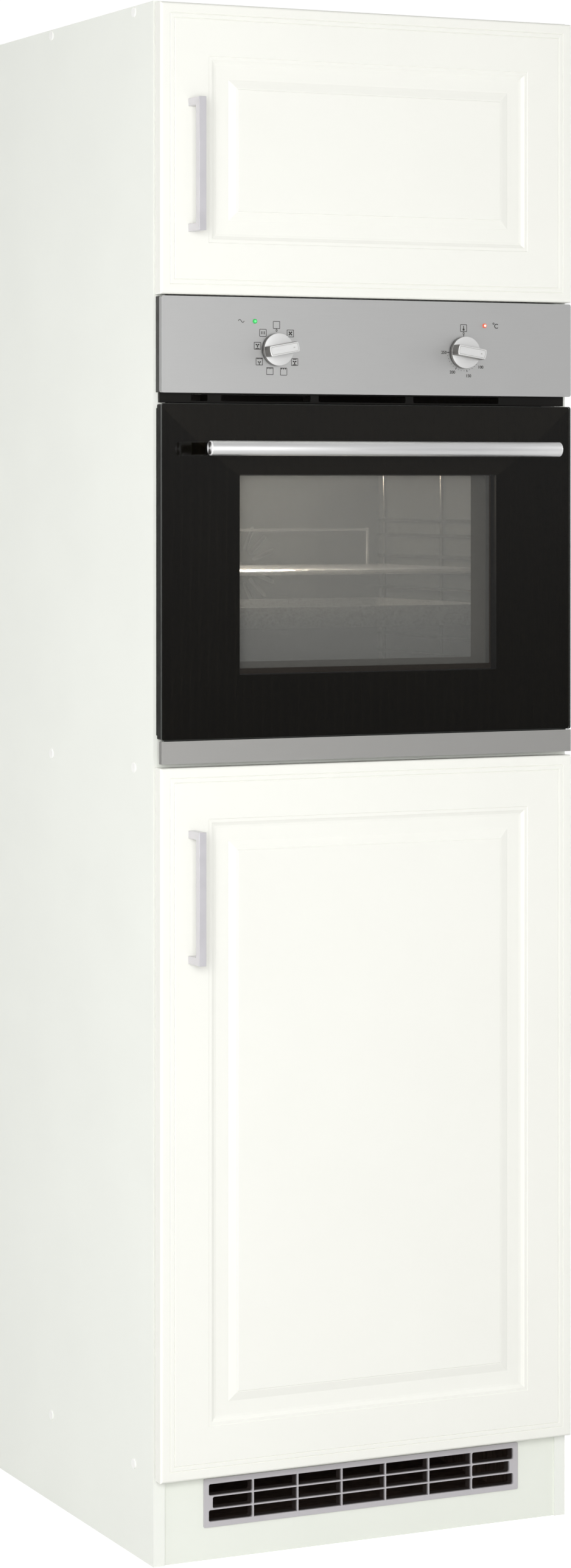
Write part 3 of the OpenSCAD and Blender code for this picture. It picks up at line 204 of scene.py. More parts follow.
def chipboard_edges(m):
    """Raw chipboard on the rear edges of the boards; the rest stays as it is."""
    normal = m.node("SeparateXYZ")
    m.join(m.node("NewGeometry").outputs["Normal"], normal.inputs["Vector"])
    facing = m.calc("GREATER_THAN", normal.outputs["Y"], 0.9)
    rear = m.calc("GREATER_THAN", m.place()["Y"], (REAR - 1 + FRONT_Y) * MM)
    chips = m.node("TexVoronoi")
    chips.inputs["Scale"].default_value = 520
    m.join(m.coords((1, 1, 0.45)), chips.inputs["Vector"])
    tone = m.node("RGBToBW")
    m.join(chips.outputs["Color"], tone.inputs["Color"])
    wood = m.blend(m.remap(tone.outputs["Val"], 0, 1, 0.2, 0.8), srgb(150, 116, 78), srgb(205, 176, 132))
    m.cover(m.calc("MULTIPLY", facing, rear), wood)


def painted_bow_tie_highlight(m, y, z, dark, light):
    """Painted highlight: the two light fans that a turned face shows round its centre at Y = y and Z = z.
    """
    place = m.place()
    angle = m.calc("ARCTAN2", m.calc("SUBTRACT", place["Z"], z), m.calc("SUBTRACT", place["Y"], y))
    wave = m.calc("COSINE", m.calc("MULTIPLY", angle, 2.0))
    m.drive("Base Color", m.blend(m.remap(wave, 0, 1, -0.6, 0.9), dark, light))


# ---------- materials ----------

STREAK_X = (1.5, 260, 260)  # grain that runs along X
KNOB_STREAK = (2, 60, 60)

# boards and painted fronts
door_foil = Mat("door_foil", srgb(238, 238, 231), 0.42, Coat_Weight=0.12, Coat_Roughness=0.3)
door_foil.vary(6, 0.006, rough=(0.38, 0.46)).bump(700, 0.05, 0.00015)
carcass_board = Mat("carcass_board", srgb(236, 238, 231), 0.5)
carcass_board.vary(9, 0.006, rough=(0.46, 0.54)).bump(1500, 0.08, 0.0001, detail=4)
chipboard_edges(carcass_board)
# painted shade: a slightly darker copy of the carcass board for the plinth
plinth_shaded_board = Mat("plinth_shaded_board", srgb(232, 235, 226), 0.5).vary(9, 0.006, rough=(0.46, 0.54))
plinth_shaded_board.bump(1500, 0.08, 0.0001, detail=4)
hardboard = Mat("white_hardboard", srgb(226, 226, 220), 0.6).vary(40, 0.02, rough=(0.55, 0.65))
hardboard.bump(400, 0.1, 0.0002)
cap_plastic = Mat("white_cap", srgb(244, 244, 240), 0.35).vary(80, 0.01, rough=(0.3, 0.4))
cap_plastic.bump(900, 0.03, 0.0001)
grille_plastic = Mat("grille_plastic", srgb(186, 183, 186), 0.42).vary(30, 0.02, rough=(0.38, 0.48))
grille_plastic.bump(1200, 0.08, 0.0001)
# painted shade in the grille's openings, darker with depth
shaded_depth(grille_plastic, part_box("vent_grille")[0].y, srgb(58, 51, 49))
handle_metal = Mat("handle_metal", srgb(212, 210, 214), 0.34, 0.5)
handle_metal.vary(50, 0.02, rough=(0.3, 0.4)).bump(1400, 0.04, 0.0001)

# the oven's steel, knobs and black pieces
steel = Mat("brushed_steel", srgb(217, 217, 216), 0.43, 1.0, Anisotropic=0.4)
steel.vary(16, 0.018, STREAK_X, rough=(0.4, 0.46), detail=5).bump(9, 0.04, 0.00006, STREAK_X, 5)
trim_steel = Mat("trim_steel", srgb(190, 189, 186), 0.44, 1.0, Anisotropic=0.4)
trim_steel.vary(16, 0.018, STREAK_X, rough=(0.41, 0.47), detail=5).bump(9, 0.04, 0.00006, STREAK_X, 5)
bar_steel = Mat("bar_steel", srgb(250, 250, 250), 0.42, 1.0)
bar_steel.vary(14, 0.04, STREAK_X, rough=(0.38, 0.46), detail=5).bump(9, 0.06, 0.00006, STREAK_X, 5)
turned_end = Mat("turned_end", srgb(214, 213, 212), 0.3, 0.3)
# a painted bow-tie highlight on the bar's turned ends
painted_bow_tie_highlight(turned_end, (BAR_Y + FRONT_Y) * MM, BAR_Z * MM, srgb(70, 68, 66), srgb(250, 250, 250))
bar_rim = Mat("bar_rim", srgb(246, 246, 246), 0.25, 0.5).vary(80, 0.03, rough=(0.2, 0.3))
knob_face = Mat("knob_face", srgb(236, 236, 235), 0.38, 0.5)
knob_face.vary(30, 0.02, KNOB_STREAK, rough=(0.34, 0.42)).bump(60, 0.04, 0.0001, KNOB_STREAK)
knob_side = Mat("knob_side", srgb(148, 146, 143), 0.3, 0.9).vary(60, 0.03, rough=(0.26, 0.36))
knob_side.bump(500, 0.04, 0.0001)
# painted shade for the groove at each knob's foot
knob_foot_shade = Mat("knob_foot_shade", srgb(44, 43, 41), 0.5).vary(80, 0.05, rough=(0.45, 0.55))
knob_line = Mat("knob_line", srgb(196, 195, 192), 0.4, 0.4).vary(80, 0.04, rough=(0.35, 0.45))
black_plastic = Mat("black_plastic", srgb(46, 45, 43), 0.45).vary(40, 0.06, rough=(0.4, 0.52))
black_plastic.bump(900, 0.1, 0.0001)
louvre_plastic = Mat("louvre_plastic", srgb(20, 19, 17), 0.5, Specular_IOR_Level=0.25)
louvre_plastic.vary(40, 0.06, rough=(0.45, 0.55)).bump(900, 0.08, 0.0001)
black_metal = Mat("black_metal", srgb(11, 10, 8), 0.45, Specular_IOR_Level=0.15)
black_metal.vary(50, 0.06, rough=(0.4, 0.5)).bump(700, 0.08, 0.0001)
ink = Mat("dial_ink", srgb(60, 58, 56), 0.6, Specular_IOR_Level=0.2)
ink.vary(200, 0.05, rough=(0.5, 0.6))

# glass: an alpha of 0.14 also scales the shine, so the IOR is raised to keep real glass's mirror image
door_glass = Mat("door_glass", srgb(10, 9, 7), 0.02, Alpha=0.14, IOR=1.9, Specular_IOR_Level=1.0)
door_glass.vary(4, 0.03, rough=(0.018, 0.024))
glass_edge = Mat("glass_edge", srgb(58, 60, 58), 0.2, IOR=1.5).vary(60, 0.1, rough=(0.15, 0.25))
glass_print = Mat("glass_print", srgb(18, 15, 8), 0.3, Specular_IOR_Level=0.1)
glass_print.vary(20, 0.05, rough=(0.28, 0.32))
# the inner panes carry a pale grey haze over the cavity: painted light for the lit cavity behind the glass
middle_pane = Mat("middle_pane", srgb(190, 190, 184), 0.1, Alpha=0.1, Specular_IOR_Level=0.2)
middle_pane.vary(3, 0.02, rough=(0.08, 0.14))
inner_pane = Mat("inner_pane", srgb(196, 196, 190), 0.12, Alpha=0.31, Specular_IOR_Level=0.2)
# painted light: the inner pane's haze gets paler towards the top
painted_light_up_pane = inner_pane.remap(inner_pane.place()["Z"], 0, 1, PANE_LOW * MM, PANE_TOP * MM)
inner_pane.drive("Base Color", inner_pane.blend(painted_light_up_pane, srgb(190, 191, 186), srgb(214, 214, 210)))
# painted shade: dark bands for the shaded depth of the window's recess
window_shade_band = Mat("window_shade_band", srgb(42, 35, 28), 0.4, Specular_IOR_Level=0.1)
window_shade_band.vary(30, 0.04, rough=(0.35, 0.45))
window_frame_shade_band = Mat("window_frame_shade_band", srgb(64, 61, 55), 0.4, Specular_IOR_Level=0.1)
window_frame_shade_band.vary(30, 0.03, rough=(0.35, 0.45))

# inside and behind the oven, and the small metal pieces
enamel = Mat("oven_enamel", srgb(74, 76, 74), 0.35).vary(420, 0.22, rough=(0.28, 0.4), detail=1.0)
enamel.bump(120, 0.06, 0.0003)
# painted light: a lighter copy of the cavity's enamel for the baking tray, which lies in the rack's shade
lit_tray_enamel = Mat("lit_tray_enamel", srgb(128, 128, 125), 0.3).vary(420, 0.25, rough=(0.24, 0.36), detail=1.0)
lit_tray_enamel.bump(120, 0.06, 0.0003)
galvanised = Mat("galvanised", srgb(168, 170, 170), 0.42, 0.85)
galvanised.vary(70, 0.12, rough=(0.34, 0.5)).bump(90, 0.05, 0.0002)
casing_steel = Mat("casing_steel", srgb(168, 170, 170), 0.42, 0.85)
casing_steel.vary(70, 0.12, rough=(0.34, 0.5)).bump(90, 0.05, 0.0002)
# painted shade inside the casing, where the louvre's slots look in
painted_shade_inside(casing_steel, *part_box("oven_casing"))
zinc = Mat("zinc_steel", srgb(196, 188, 160), 0.35, 0.9).vary(90, 0.08, rough=(0.3, 0.42))
zinc.bump(400, 0.05, 0.0001)
nickel = Mat("nickel", srgb(205, 204, 200), 0.22, 1.0).vary(60, 0.04, rough=(0.18, 0.28))
nickel.bump(300, 0.03, 0.0001)
chrome = Mat("chromed_wire", srgb(236, 236, 236), 0.2, 0.8).vary(60, 0.03, rough=(0.14, 0.24))
# painted shade: a darker copy of the chromed wire for the side racks in the cavity
shaded_chrome = Mat("side_rack_shaded_wire", srgb(122, 121, 118), 0.1, 0.9).vary(60, 0.05, rough=(0.08, 0.16))
fan_steel = Mat("fan_steel", srgb(180, 180, 178), 0.36, 0.9).vary(60, 0.06, rough=(0.3, 0.42))
element_metal = Mat("element_metal", srgb(58, 54, 50), 0.5, 0.6).vary(90, 0.2, rough=(0.42, 0.6))
element_metal.bump(300, 0.1, 0.0001)
motor_metal = Mat("motor_metal", srgb(96, 97, 99), 0.5, 0.7)
motor_metal.vary(40, 0.1, (1, 300, 1), rough=(0.42, 0.58)).bump(12, 0.3, 0.0003, (1, 200, 1))
switch_plastic = Mat("switch_plastic", srgb(206, 200, 184), 0.5).vary(60, 0.04, rough=(0.45, 0.55))
box_plastic = Mat("box_plastic", srgb(220, 218, 210), 0.45).vary(60, 0.03, rough=(0.4, 0.5))
box_plastic.bump(900, 0.06, 0.0001)
seal_rubber = Mat("seal_rubber", srgb(48, 45, 43), 0.7).vary(60, 0.08, rough=(0.62, 0.78))
seal_rubber.bump(500, 0.15, 0.0002)

green_lens = lamp_like("green_lens", srgb(52, 168, 84), srgb(40, 214, 92), 0.22, (0.16, 0.24), 0.08)
green_core = lamp_like("green_core", srgb(96, 224, 128), srgb(120, 240, 150), 0.35, (0.25, 0.35), 0.03)
red_lens = lamp_like("red_lens", srgb(206, 96, 74), srgb(232, 110, 80), 0.3, (0.16, 0.24), 0.08)
red_core = lamp_like("lit_core", srgb(252, 228, 214), srgb(255, 240, 232), 0.35, (0.25, 0.35), 0.03)
lamp_glass = lamp_like("lamp_glass", srgb(250, 238, 210), srgb(255, 232, 196), 3.0, (0.2, 0.3), 0.03, 120)

NODE_MATS = {
    carcass_board: ("left_side_panel", "right_side_panel", "top_panel", "bottom_panel", "oven_shelf",
                    "compartment_shelf", "rear_cross_rail"),
    plinth_shaded_board: ("plinth_panel",),
    hardboard: ("compartment_back_panel",),
    door_foil: ("upper_door_panel", "lower_door_panel"),
    cap_plastic: ("screw_cover_caps",),
    grille_plastic: ("vent_grille",),
    zinc: ("connecting_screws", "upper_handle_screws", "lower_handle_screws"),
    nickel: ("hinge_mounting_plates", "hinge_arms", "upper_hinge_cups", "lower_hinge_cups"),
    handle_metal: ("upper_door_handle", "lower_door_handle"),
    casing_steel: ("oven_casing",),
    galvanised: ("cooling_fan_housing", "oven_hinge_brackets", "oven_hinge_pins"),
    enamel: ("oven_cavity", "fan_cover"),
    lit_tray_enamel: ("baking_tray",),
    black_metal: ("oven_front_frame", "oven_fixing_screws", "door_frame", "oven_handle_brackets"),
    black_plastic: ("control_carrier",),
    louvre_plastic: ("vent_louvre",),
    steel: ("control_fascia",),
    trim_steel: ("door_bottom_trim",),
    bar_steel: ("oven_handle_bar",),
    switch_plastic: ("function_switch", "thermostat"),
    green_lens: ("power_lens",),
    red_lens: ("heating_lens",),
    seal_rubber: ("door_seal",),
    chrome: ("wire_rack",),
    shaded_chrome: ("left_side_rack", "right_side_rack"),
    element_metal: ("grill_element",),
    fan_steel: ("convection_fan", "cooling_fan_rotor"),
    motor_metal: ("fan_motor",),
    lamp_glass: ("oven_lamp",),
    box_plastic: ("terminal_box",),
    door_glass: ("door_outer_glass",),
    glass_print: ("door_glass_print",),
    middle_pane: ("door_middle_glass",),
    inner_pane: ("door_inner_glass",),
    knob_face: ("function_knob", "temperature_knob"),
}
for m, names in NODE_MATS.items():
    for name in names:
        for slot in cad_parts[name].material_slots:
            slot.link = "OBJECT"
            slot.material = m.mat


# ---------- shape tools ----------

def add(name, data):
    """An object of its own in the scene."""
    obj = bpy.data.objects.new(name, data)
    bpy.context.scene.collection.objects.link(obj)
    return obj


def add_mesh(name, bm, *mats):
    mesh = bpy.data.meshes.new(name)
    bm.to_mesh(mesh)
    bm.free()
    for m in mats:
        mesh.materials.append(m.mat)
    return add(name, mesh)


def piece(name, bm, body, slot, *mats, smooth=35, bevel=None, replaces=()):
    """An object from a bmesh, riding on a body; smooth is the angle in degrees that still shades smooth."""
    bmesh.ops.recalc_face_normals(bm, faces=bm.faces)
    obj = add_mesh(name, bm, *mats)
    if bevel:
        mod = obj.modifiers.new("bevel", "BEVEL")
        mod.width, mod.segments, mod.limit_method = bevel, 3, "ANGLE"
        mod.angle_limit = math.radians(40)
    if smooth:
        obj.data.shade_smooth()
        with bpy.context.temp_override(object=obj, active_object=obj, selected_objects=[obj],
                                       selected_editable_objects=[obj]):
            bpy.ops.object.shade_smooth_by_angle(angle=math.radians(smooth))
    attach(obj, body)
    if replaces:
        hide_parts(*replaces)


def bridge(bm, a, b, material=0):
    """A band of faces between two closed loops of as many points."""
    for i in range(len(a)):
        j = (i + 1) % len(a)
        bm.faces.new((a[i], a[j], b[j], b[i])).material_index = material


def extrude_outline(bm, points, depth, material=0):
    """A prism from an outline of Vectors along the depth Vector."""
    low = [bm.verts.new(p) for p in points]
    high = [bm.verts.new(p + depth) for p in points]
    for end in (low, high):
        bm.faces.new(end).material_index = material
    bridge(bm, low, high, material)


def round_outline(w, h, r, cx=0.0, cz=0.0, steps=6):
    """Corner-rounded rectangle as (x, z) in mm."""
    pts = []
    for q, (sx, sz) in enumerate(((1, 1), (-1, 1), (-1, -1), (1, -1))):
        for i in range(steps + 1):
            a = math.pi / 2 * (q + i / steps)
            pts.append((cx + sx * (w / 2 - r) + r * math.cos(a), cz + sz * (h / 2 - r) + r * math.sin(a)))
    return pts


def lathe(bm, profile, centre, axis, steps, materials):
    """Turns (radius, height) pairs in mm round an axis through centre, with a material for each band."""
    turn = Vector((0, 0, 1)).rotation_difference(Vector(axis)).to_matrix()
    rings = []
    for r, h in profile:
        ring = []
        for i in range(steps if r else 1):
            t = 2 * math.pi * i / steps
            ring.append(bm.verts.new(centre + turn @ (Vector((r * math.cos(t), r * math.sin(t), h)) * MM)))
        rings.append(ring)
    for a, b, material in zip(rings, rings[1:], materials):
        for i in range(steps):
            j = (i + 1) % steps
            corners = (a[i % len(a)], a[j % len(a)], b[j % len(b)], b[i % len(b)])
            loop = list(dict.fromkeys(corners))
            if len(loop) > 2:
                bm.faces.new(loop).material_index = material


# ---------- pieces ----------

def furniture_handle(name, node, z, body):
    """The square bar handle: one U-shaped outline, softly bevelled; z is its lower screw's height."""
    x, half, reach, thick, span = -255.5, 5, 35, 11, 160
    low, high, outer, inner = z, z + span, FACE - reach, FACE - reach + thick
    outline = [(FACE, low - half), (outer, low - half), (outer, high + half), (FACE, high + half),
               (FACE, high - half), (inner, high - half), (inner, low + half), (FACE, low + half)]
    bm = bmesh.new()
    extrude_outline(bm, [at(x - half, py, pz) for py, pz in outline], Vector((2 * half * MM, 0, 0)))
    piece(name, bm, body, "handle_metal", handle_metal, bevel=0.6 * MM, replaces=(node,))


def outer_glass():
    """The door glass with a fine arris and polished edges."""
    arris = 0.5
    back = FACE + GLASS_T
    bm = bmesh.new()
    loops = []
    for y, inset in ((back, arris), (back - arris, 0.0), (FACE + arris, 0.0), (FACE, arris)):
        outline = round_outline(GLASS_W - 2 * inset, GLASS_H - 2 * inset, 3.0 - inset / 2, 0, GLASS_Z)
        loops.append([bm.verts.new(at(px, y, pz)) for px, pz in outline])
    for a, b in zip(loops, loops[1:]):
        bridge(bm, a, b, 1)
    for loop in (loops[0], loops[-1]):
        bm.faces.new(loop)
    piece("outer_door_glass", bm, "oven_door", "door_glass", door_glass, glass_edge,
          replaces=("door_outer_glass",))


def pane_shade_band(name, y, outer, hole, thick, mat):
    """A band of painted shade on a pane, for the shaded depth of the window's recess; outer and hole are
    (x0, z0, x1, z1).
    """
    bm = bmesh.new()
    sides = []
    for py in (y, y + thick):
        loops = []
        for (x0, z0, x1, z1), r in ((outer, 3), (hole, 1.6)):
            outline = round_outline(x1 - x0, z1 - z0, r, (x0 + x1) / 2, (z0 + z1) / 2)
            loops.append([bm.verts.new(at(px, py, pz)) for px, pz in outline])
        sides.append(loops)
        bridge(bm, *loops)
    for front_loop, back_loop in zip(*sides):
        bridge(bm, front_loop, back_loop)
    piece(name, bm, "oven_door", "black_print", mat)


def knob(name, x, tilt):
    """Satin disc with painted shade in the groove at its foot and a proud straight grip, turned by tilt
    degrees.
    """
    face_mat, side_mat, line_mat, foot_shade_mat = range(4)
    base, disc, reach, r, half = FACE - 0.5, 7.5, 17.0, 21.0, 6.75
    disc_y = base - disc
    grip_y = disc_y - reach
    turn = Matrix.Rotation(-math.radians(tilt), 3, "Y")

    def turned(px, py, pz):
        return at(x, 0, KNOB_Z) + turn @ (Vector((px, py, pz)) * MM)

    bm = bmesh.new()
    profile = [(0, 0), (r - 1.6, 0), (r - 1.2, 1.2), (r - 1.2, 1.6), (r - 0.1, 1.8), (r, 2.4),
               (r, disc - 0.8), (r - 0.3, disc - 0.2), (r - 1.0, disc), (0, disc)]
    lathe(bm, profile, at(x, base, KNOB_Z), (0, -1, 0), 72,
          [side_mat] + 3 * [foot_shade_mat] + 2 * [side_mat] + 3 * [face_mat])
    spindle_l, spindle_r = 29.5, 3
    lathe(bm, [(spindle_r, 0), (spindle_r, spindle_l), (0, spindle_l)], at(x, base + 0.01, KNOB_Z),
          (0, 1, 0), 24, [side_mat, side_mat])

    # the grip: straight flanks, ends that follow the disc, an inset line round its face
    a = math.asin(half / r)
    arc = [(r * math.cos(a * (k / 6 - 1)), r * math.sin(a * (k / 6 - 1))) for k in range(13)]
    outline = arc + [(-px, -pz) for px, pz in arc]
    levels = [(0.0, disc_y + 0.05), (0.0, grip_y + 0.9), (0.25, grip_y + 0.3), (0.9, grip_y),
              (1.5, grip_y), (1.65, grip_y + 0.35), (1.95, grip_y + 0.35), (2.1, grip_y)]
    rings = []
    for inset, y in levels:
        kx, kz = (r - inset) / r, (half - inset) / half
        rings.append([bm.verts.new(turned(px * kx, y, pz * kz)) for px, pz in outline])
    bands = 2 * [side_mat] + 2 * [face_mat] + 3 * [line_mat]
    for low, high, material in zip(rings, rings[1:], bands):
        bridge(bm, low, high, material)
    bm.faces.new(rings[-1])

    # the small drop-shaped mark near the pointing end
    drop = [(15.5, 0.0), (13.2, 1.0), (12.6, 0.55), (12.4, 0.0), (12.6, -0.55), (13.2, -1.0)]
    extrude_outline(bm, [turned(px, grip_y - 0.02, pz) for px, pz in drop],
                    Vector((0, -0.03 * MM, 0)), line_mat)
    piece(name + "_body", bm, name, "knob_plastic", knob_face, knob_side, knob_line, knob_foot_shade,
          smooth=30, replaces=(name,))


def oven_bar():
    """The oven door's round bar, with chamfered rims and turned ends."""
    r, half = 9.5, 253
    end = [(0, half), (r - 1.2, half), (r - 0.9, half - 0.1), (r - 0.2, half - 0.9), (r, half - 1.3)]
    bm = bmesh.new()
    lathe(bm, end + [(er, -h) for er, h in reversed(end)], at(0, BAR_Y, BAR_Z), (1, 0, 0), 64,
          [1, 2, 2, 2, 0, 2, 2, 2, 1])
    piece("oven_bar", bm, "oven_door", "bar_steel", bar_steel, turned_end, bar_rim,
          replaces=("oven_handle_bar",))


def lens_dome(name, x, slot, rim_mat, core_mat):
    """A small domed lens whose middle is lit."""
    bm = bmesh.new()
    lathe(bm, [(3, 0), (2.9, 0.6), (2.4, 1.1), (1.6, 1.4), (0.8, 1.6), (0, 1.6)],
          at(x, FACE - 0.55, LENS_Z), (0, -1, 0), 32, [0, 0, 0, 1, 1])
    piece(name, bm, "cabinet", slot, rim_mat, core_mat)


furniture_handle("upper_bar_handle", "upper_door_handle", 1710, "upper_door")
furniture_handle("lower_bar_handle", "lower_door_handle", 776, "lower_door")
outer_glass()
# painted shade on the two inner panes: bands at the window's right and lower edges, for the recess's shaded
# depth
pane_shade_band("middle_pane_shade_band", -2.3, (-186.2, 1138.3, 186.2, 1394.7), (-184, 1145.3, 184, 1394.3), 0.25,
           window_shade_band)
pane_shade_band("inner_pane_shade_band", 11.6, (-185.7, 1138.8, 185.7, 1394.2), (-173.5, 1153.4, 163.8, 1393.8), 0.3,
           window_frame_shade_band)
knob("function_knob", -KNOB_X, 10)
knob("temperature_knob", KNOB_X, -9)
oven_bar()
lens_dome("power_lens_dome", -LENS_X, "green_lens", green_lens, green_core)
lens_dome("heating_lens_dome", LENS_X, "red_lens", red_lens, red_core)


# ---------- the print on the fascia, in mm ----------

ink_bm = bmesh.new()


def ink_poly(pts):
    extrude_outline(ink_bm, [at(x, INK_Y, z) for x, z in pts], Vector((0, 0.05 * MM, 0)))


def ink_line(x0, z0, x1, z1, w=0.75):
    a, b = Vector((x0, z0)), Vector((x1, z1))
    side = (b - a).orthogonal().normalized() * w / 2
    ink_poly([a + side, b + side, b - side, a - side])


def ink_oval(x, z, a, b, turn=0.0, steps=14):
    c, s = math.cos(turn), math.sin(turn)
    pts = []
    for k in range(steps):
        u, v = a * math.cos(2 * math.pi * k / steps), b * math.sin(2 * math.pi * k / steps)
        pts.append((x + u * c - v * s, z + u * s + v * c))
    ink_poly(pts)


def ink_box(x, z):
    """The square round a symbol, a little wider than it is high."""
    w, h = BOX / 2 * 1.03, BOX / 2
    for x0, z0, x1, z1 in ((-w, -h, w, -h), (w, -h, w, h), (w, h, -w, h), (-w, h, -w, -h)):
        ink_line(x + x0, z + z0, x + x1, z + z1)


def ink_fan(x, z, blades, reach, start):
    """Petals round a hub, the first at start degrees."""
    for k in range(blades):
        t = math.radians(start + 360 * k / blades)
        ink_oval(x + reach * 0.6 * math.cos(t), z + reach * 0.6 * math.sin(t), reach * 0.46, reach * 0.3, t)
    ink_oval(x, z, reach * 0.2, reach * 0.2)


def ink_teeth(x, z, count):
    """Grill teeth hanging from the upper edge of a symbol's square."""
    step = (BOX - 1.0) / count
    top = z + BOX / 2 - 0.2
    for k in range(count):
        x0 = x - (BOX - 1.0) / 2 + k * step
        ink_poly([(x0 + 0.15, top), (x0 + step - 0.15, top), (x0 + step / 2, top - 2.0)])


def ink_bar(x, z):
    ink_line(x - 2.8, z, x + 2.8, z, 0.9)


def on_dial(deg, radius):
    """A point of the temperature dial's scale."""
    t = math.radians(deg)
    return KNOB_X + radius * math.cos(t), KNOB_Z + radius * math.sin(t)


# the function dial: a square per setting, clockwise from the top
for x, z in ((-136.3, 1588), (-116.6, 1577.4), (-110.6, 1540.6), (-126.3, 1528), (-145.8, 1528.4),
             (-160.7, 1540.6), (-163.4, 1560.8), (-155.6, 1577.6)):
    ink_box(x, z)
ink_fan(-116.6, 1577.4, 4, 3.2, 45)
ink_fan(-110.6, 1540.4, 3, 2.9, 30)
ink_bar(-110.6, 1544.1)
ink_bar(-110.6, 1537.1)
ink_teeth(-126.3, 1528, 3)
ink_teeth(-145.8, 1528.4, 4)
ink_teeth(-160.7, 1540.6, 4)
ink_fan(-160.7, 1539.2, 3, 2.6, 30)
ink_fan(-163.4, 1561.4, 3, 2.9, 30)
ink_bar(-163.4, 1557.3)
for x in (-157.8, -155.6, -153.4):
    ink_line(x, 1575.6, x, 1579.6, 0.8)

# the mains wave, left of the green lens
wave = [(-186.3 + 8.6 * (i / 24 - 0.5), 1592.4 + 1.9 * math.sin(2 * math.pi * i / 24)) for i in range(25)]
for start, end in zip(wave, wave[1:]):
    ink_line(*start, *end, 0.8)

# the temperature dial: thermometer, its four long marks and the small ones between
ink_box(135.8, 1588.6)
ink_line(135.8, 1587, 135.8, 1591.6, 1.1)
ink_oval(135.8, 1586.6, 1.5, 1.5)
for deg, r0, r1, w in ((90, 21.4, 23.6, 0.9), (180, 21.4, 24.6, 1.1), (241, 22.6, 25.4, 0.9),
                       (281, 23.0, 26.0, 0.9)):
    ink_line(*on_dial(deg, r0), *on_dial(deg, r1), w)
for deg in (190, 200, 209, 219, 229, 251, 261, 271, 291, 301, 311, 321):
    ink_oval(*on_dial(deg, 24), 0.45, 0.45, steps=8)
piece("fascia_symbols", ink_bm, "cabinet", "black_print", ink, smooth=0)

for name, text, x, z, size in (("zero_left", "0", -136.3, 1580.9, 5.0),
                               ("zero_right", "0", 135.8, 1581.4, 5.0),
                               ("mark_250", "250", 106.6, 1556, 5.4),
                               ("mark_200", "200", 119.2, 1530.2, 5.4),
                               ("mark_150", "150", 143, 1525.6, 5.4),
                               ("mark_100", "100", 161.2, 1537.3, 5.4),
                               ("degree_ring", "°", 180.4, 1592.6, 9.0),
                               ("celsius", "C", 184.4, 1591.6, 8.8)):
    curve = bpy.data.curves.new(name, "FONT")
    curve.body = text
    curve.size = size * MM
    curve.align_x, curve.align_y = "CENTER", "CENTER"
    curve.extrude = 0.02 * MM
    curve.offset = 0.13 * MM
    curve.materials.append(ink.mat)
    label = add(name, curve)
    label.matrix_world = Matrix.Translation(at(x, INK_Y, z)) @ Matrix.Rotation(math.radians(90), 4, "X")
    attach(label, "cabinet")

# ---------- camera ----------

# the photograph's height, focal length and horizon, in its pixels
PHOTO_H, FOCAL, HORIZON = 2576, 6337.1, 794.9
cam_data = bpy.data.cameras.new("camera")
cam = add("camera", cam_data)
cam.location = (-2.2338, -4.7647, 1.3832)
cam.rotation_euler = (math.radians(90), 0, math.radians(-25.079))
cam_data.sensor_fit = "VERTICAL"
cam_data.sensor_height = 36.0
cam_data.lens = cam_data.sensor_height * FOCAL / PHOTO_H
cam_data.shift_y = (HORIZON - PHOTO_H / 2) / PHOTO_H
cam_data.clip_end = 50
bpy.context.scene.camera = cam


# ---------- light ----------

def soft_light(name, place, target, size, power, color=(1, 1, 1)):
    """A rectangular area light of size (width, height) in metres, aimed at target."""
    data = bpy.data.lights.new(name, "AREA")
    data.shape = "RECTANGLE"
    data.size, data.size_y = size
    data.energy = power
    data.color = color
    obj = add(name, data)
    obj.location = place
    obj.rotation_euler = (Vector(target) - Vector(place)).to_track_quat("-Z", "Y").to_euler()
    return obj


# the key lights the boards, and the card only shines on steel and glass
key = soft_light("key", (-2.1, -3.9, 1.65), (-0.1, -0.25, 1.1), (2.4, 1.8), 126)
key.visible_glossy = False
card = soft_light("metal_card", (-0.1, -3.7, 1.25), (-0.1, -0.25, 1.3), (1.0, 2.6), 18)
card.visible_diffuse = False
soft_light("left_fill", (-3.2, -0.35, 1.2), (-0.3, 0.0, 1.05), (2.2, 2.6), 30)
soft_light("right_rim", (3.0, -0.6, 1.4), (0.3, -0.1, 1.2), (1.6, 2.6), 22)
soft_light("rear_fill", (1.2, 3.6, 1.8), (0.0, 0.3, 1.0), (2.4, 2.4), 40)
cavity_light = soft_light("cavity_light", at(-130, 45, 1448), at(-60, 260, 1240), (0.28, 0.04), 2.6,
                          (1, 0.95, 0.88))
cavity_light.visible_camera = False

lamp = bpy.data.lights.new("oven_light", "POINT")
lamp.energy = 5.0
lamp.color = (1.0, 0.86, 0.68)
lamp.shadow_soft_size = 0.02
add("oven_light", lamp).location = at(-165, 360, 1400)


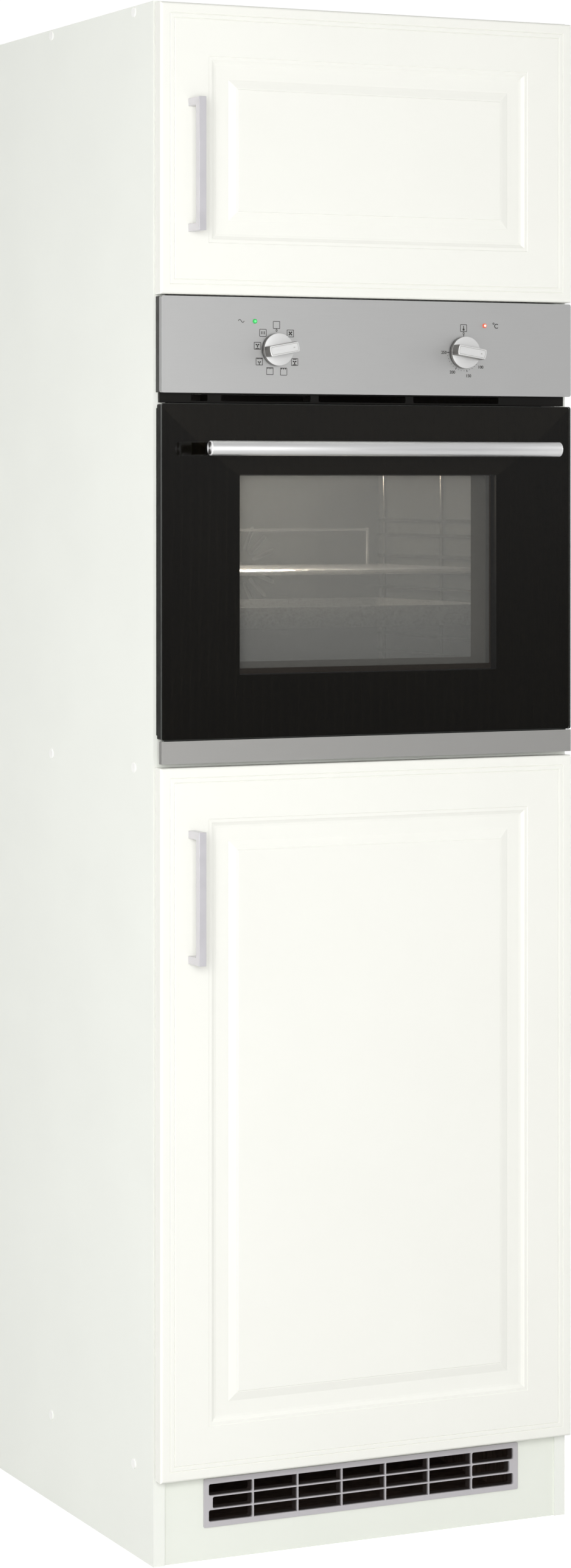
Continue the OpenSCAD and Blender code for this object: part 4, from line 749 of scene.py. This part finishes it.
def studio_world(low, high, seen_strength):
    """Grey walls, darker below eye level than above it; the camera itself sees plain white."""
    world = bpy.data.worlds.new("studio")
    bpy.context.scene.world = world
    world.use_nodes = True
    nodes, links = world.node_tree.nodes, world.node_tree.links
    coords = nodes.new("ShaderNodeTexCoord")
    xyz = nodes.new("ShaderNodeSeparateXYZ")
    links.new(coords.outputs["Generated"], xyz.inputs["Vector"])
    ramp = nodes.new("ShaderNodeMapRange")
    ramp.interpolation_type = "SMOOTHSTEP"
    for socket, v in (("From Min", -0.09), ("From Max", 0.07), ("To Min", low), ("To Max", high)):
        ramp.inputs[socket].default_value = v
    links.new(xyz.outputs["Z"], ramp.inputs["Value"])
    walls = nodes["Background"]
    walls.inputs["Strength"].default_value = 1.0
    links.new(ramp.outputs["Result"], walls.inputs["Color"])
    seen = nodes.new("ShaderNodeBackground")
    seen.inputs["Color"].default_value = (1, 1, 1, 1)
    seen.inputs["Strength"].default_value = seen_strength
    mix = nodes.new("ShaderNodeMixShader")
    links.new(nodes.new("ShaderNodeLightPath").outputs["Is Camera Ray"], mix.inputs["Fac"])
    links.new(walls.outputs["Background"], mix.inputs[1])
    links.new(seen.outputs["Background"], mix.inputs[2])
    links.new(mix.outputs["Shader"], nodes["World Output"].inputs["Surface"])


studio_world(0.2, 0.51, 1.05)

# ---------- floor ----------

# pale to the light that bounces off it, and lifted to white where the camera sees it
floor_mat = Mat("pale_floor", (0.62, 0.62, 0.62, 1.0), 0.6, Emission_Color=(1, 1, 1, 1))
floor_mat.vary(2, 0.01, rough=(0.55, 0.65))
seen_by_camera = floor_mat.node("LightPath").outputs["Is Camera Ray"]
floor_mat.drive("Emission Strength", floor_mat.remap(seen_by_camera, 0.0, 0.68, 0, 1))
bm = bmesh.new()
bmesh.ops.create_grid(bm, x_segments=4, y_segments=4, size=9.0)
floor = add_mesh("floor", bm, floor_mat)

# painted shade: a dark floor and walls for the space behind the plinth, where shade falls
shade_mat = Mat("painted_shade_under_unit", srgb(98, 82, 74), 0.8)
shade_mat.vary(60, 0.45, (1, 3, 1), rough=(0.75, 0.85), detail=6)
SIDE, FLOOR_FRONT, WALL_FRONT, BACK, LOW, TOP = 283, 20, 70, 545, 0.4, 109
strips = [[(-SIDE, FLOOR_FRONT, LOW), (SIDE, FLOOR_FRONT, LOW), (SIDE, BACK, LOW), (-SIDE, BACK, LOW)],
          [(-SIDE, BACK, LOW), (SIDE, BACK, LOW), (SIDE, BACK, TOP), (-SIDE, BACK, TOP)]]
for x in (-SIDE, SIDE):
    strips.append([(x, WALL_FRONT, LOW), (x, BACK, LOW), (x, BACK, TOP), (x, WALL_FRONT, TOP)])
bm = bmesh.new()
for strip in strips:
    bm.faces.new([bm.verts.new(at(*corner)) for corner in strip])
under = add_mesh("painted_shade_under_unit", bm, shade_mat)

bpy.context.scene.view_settings.view_transform = "Standard"
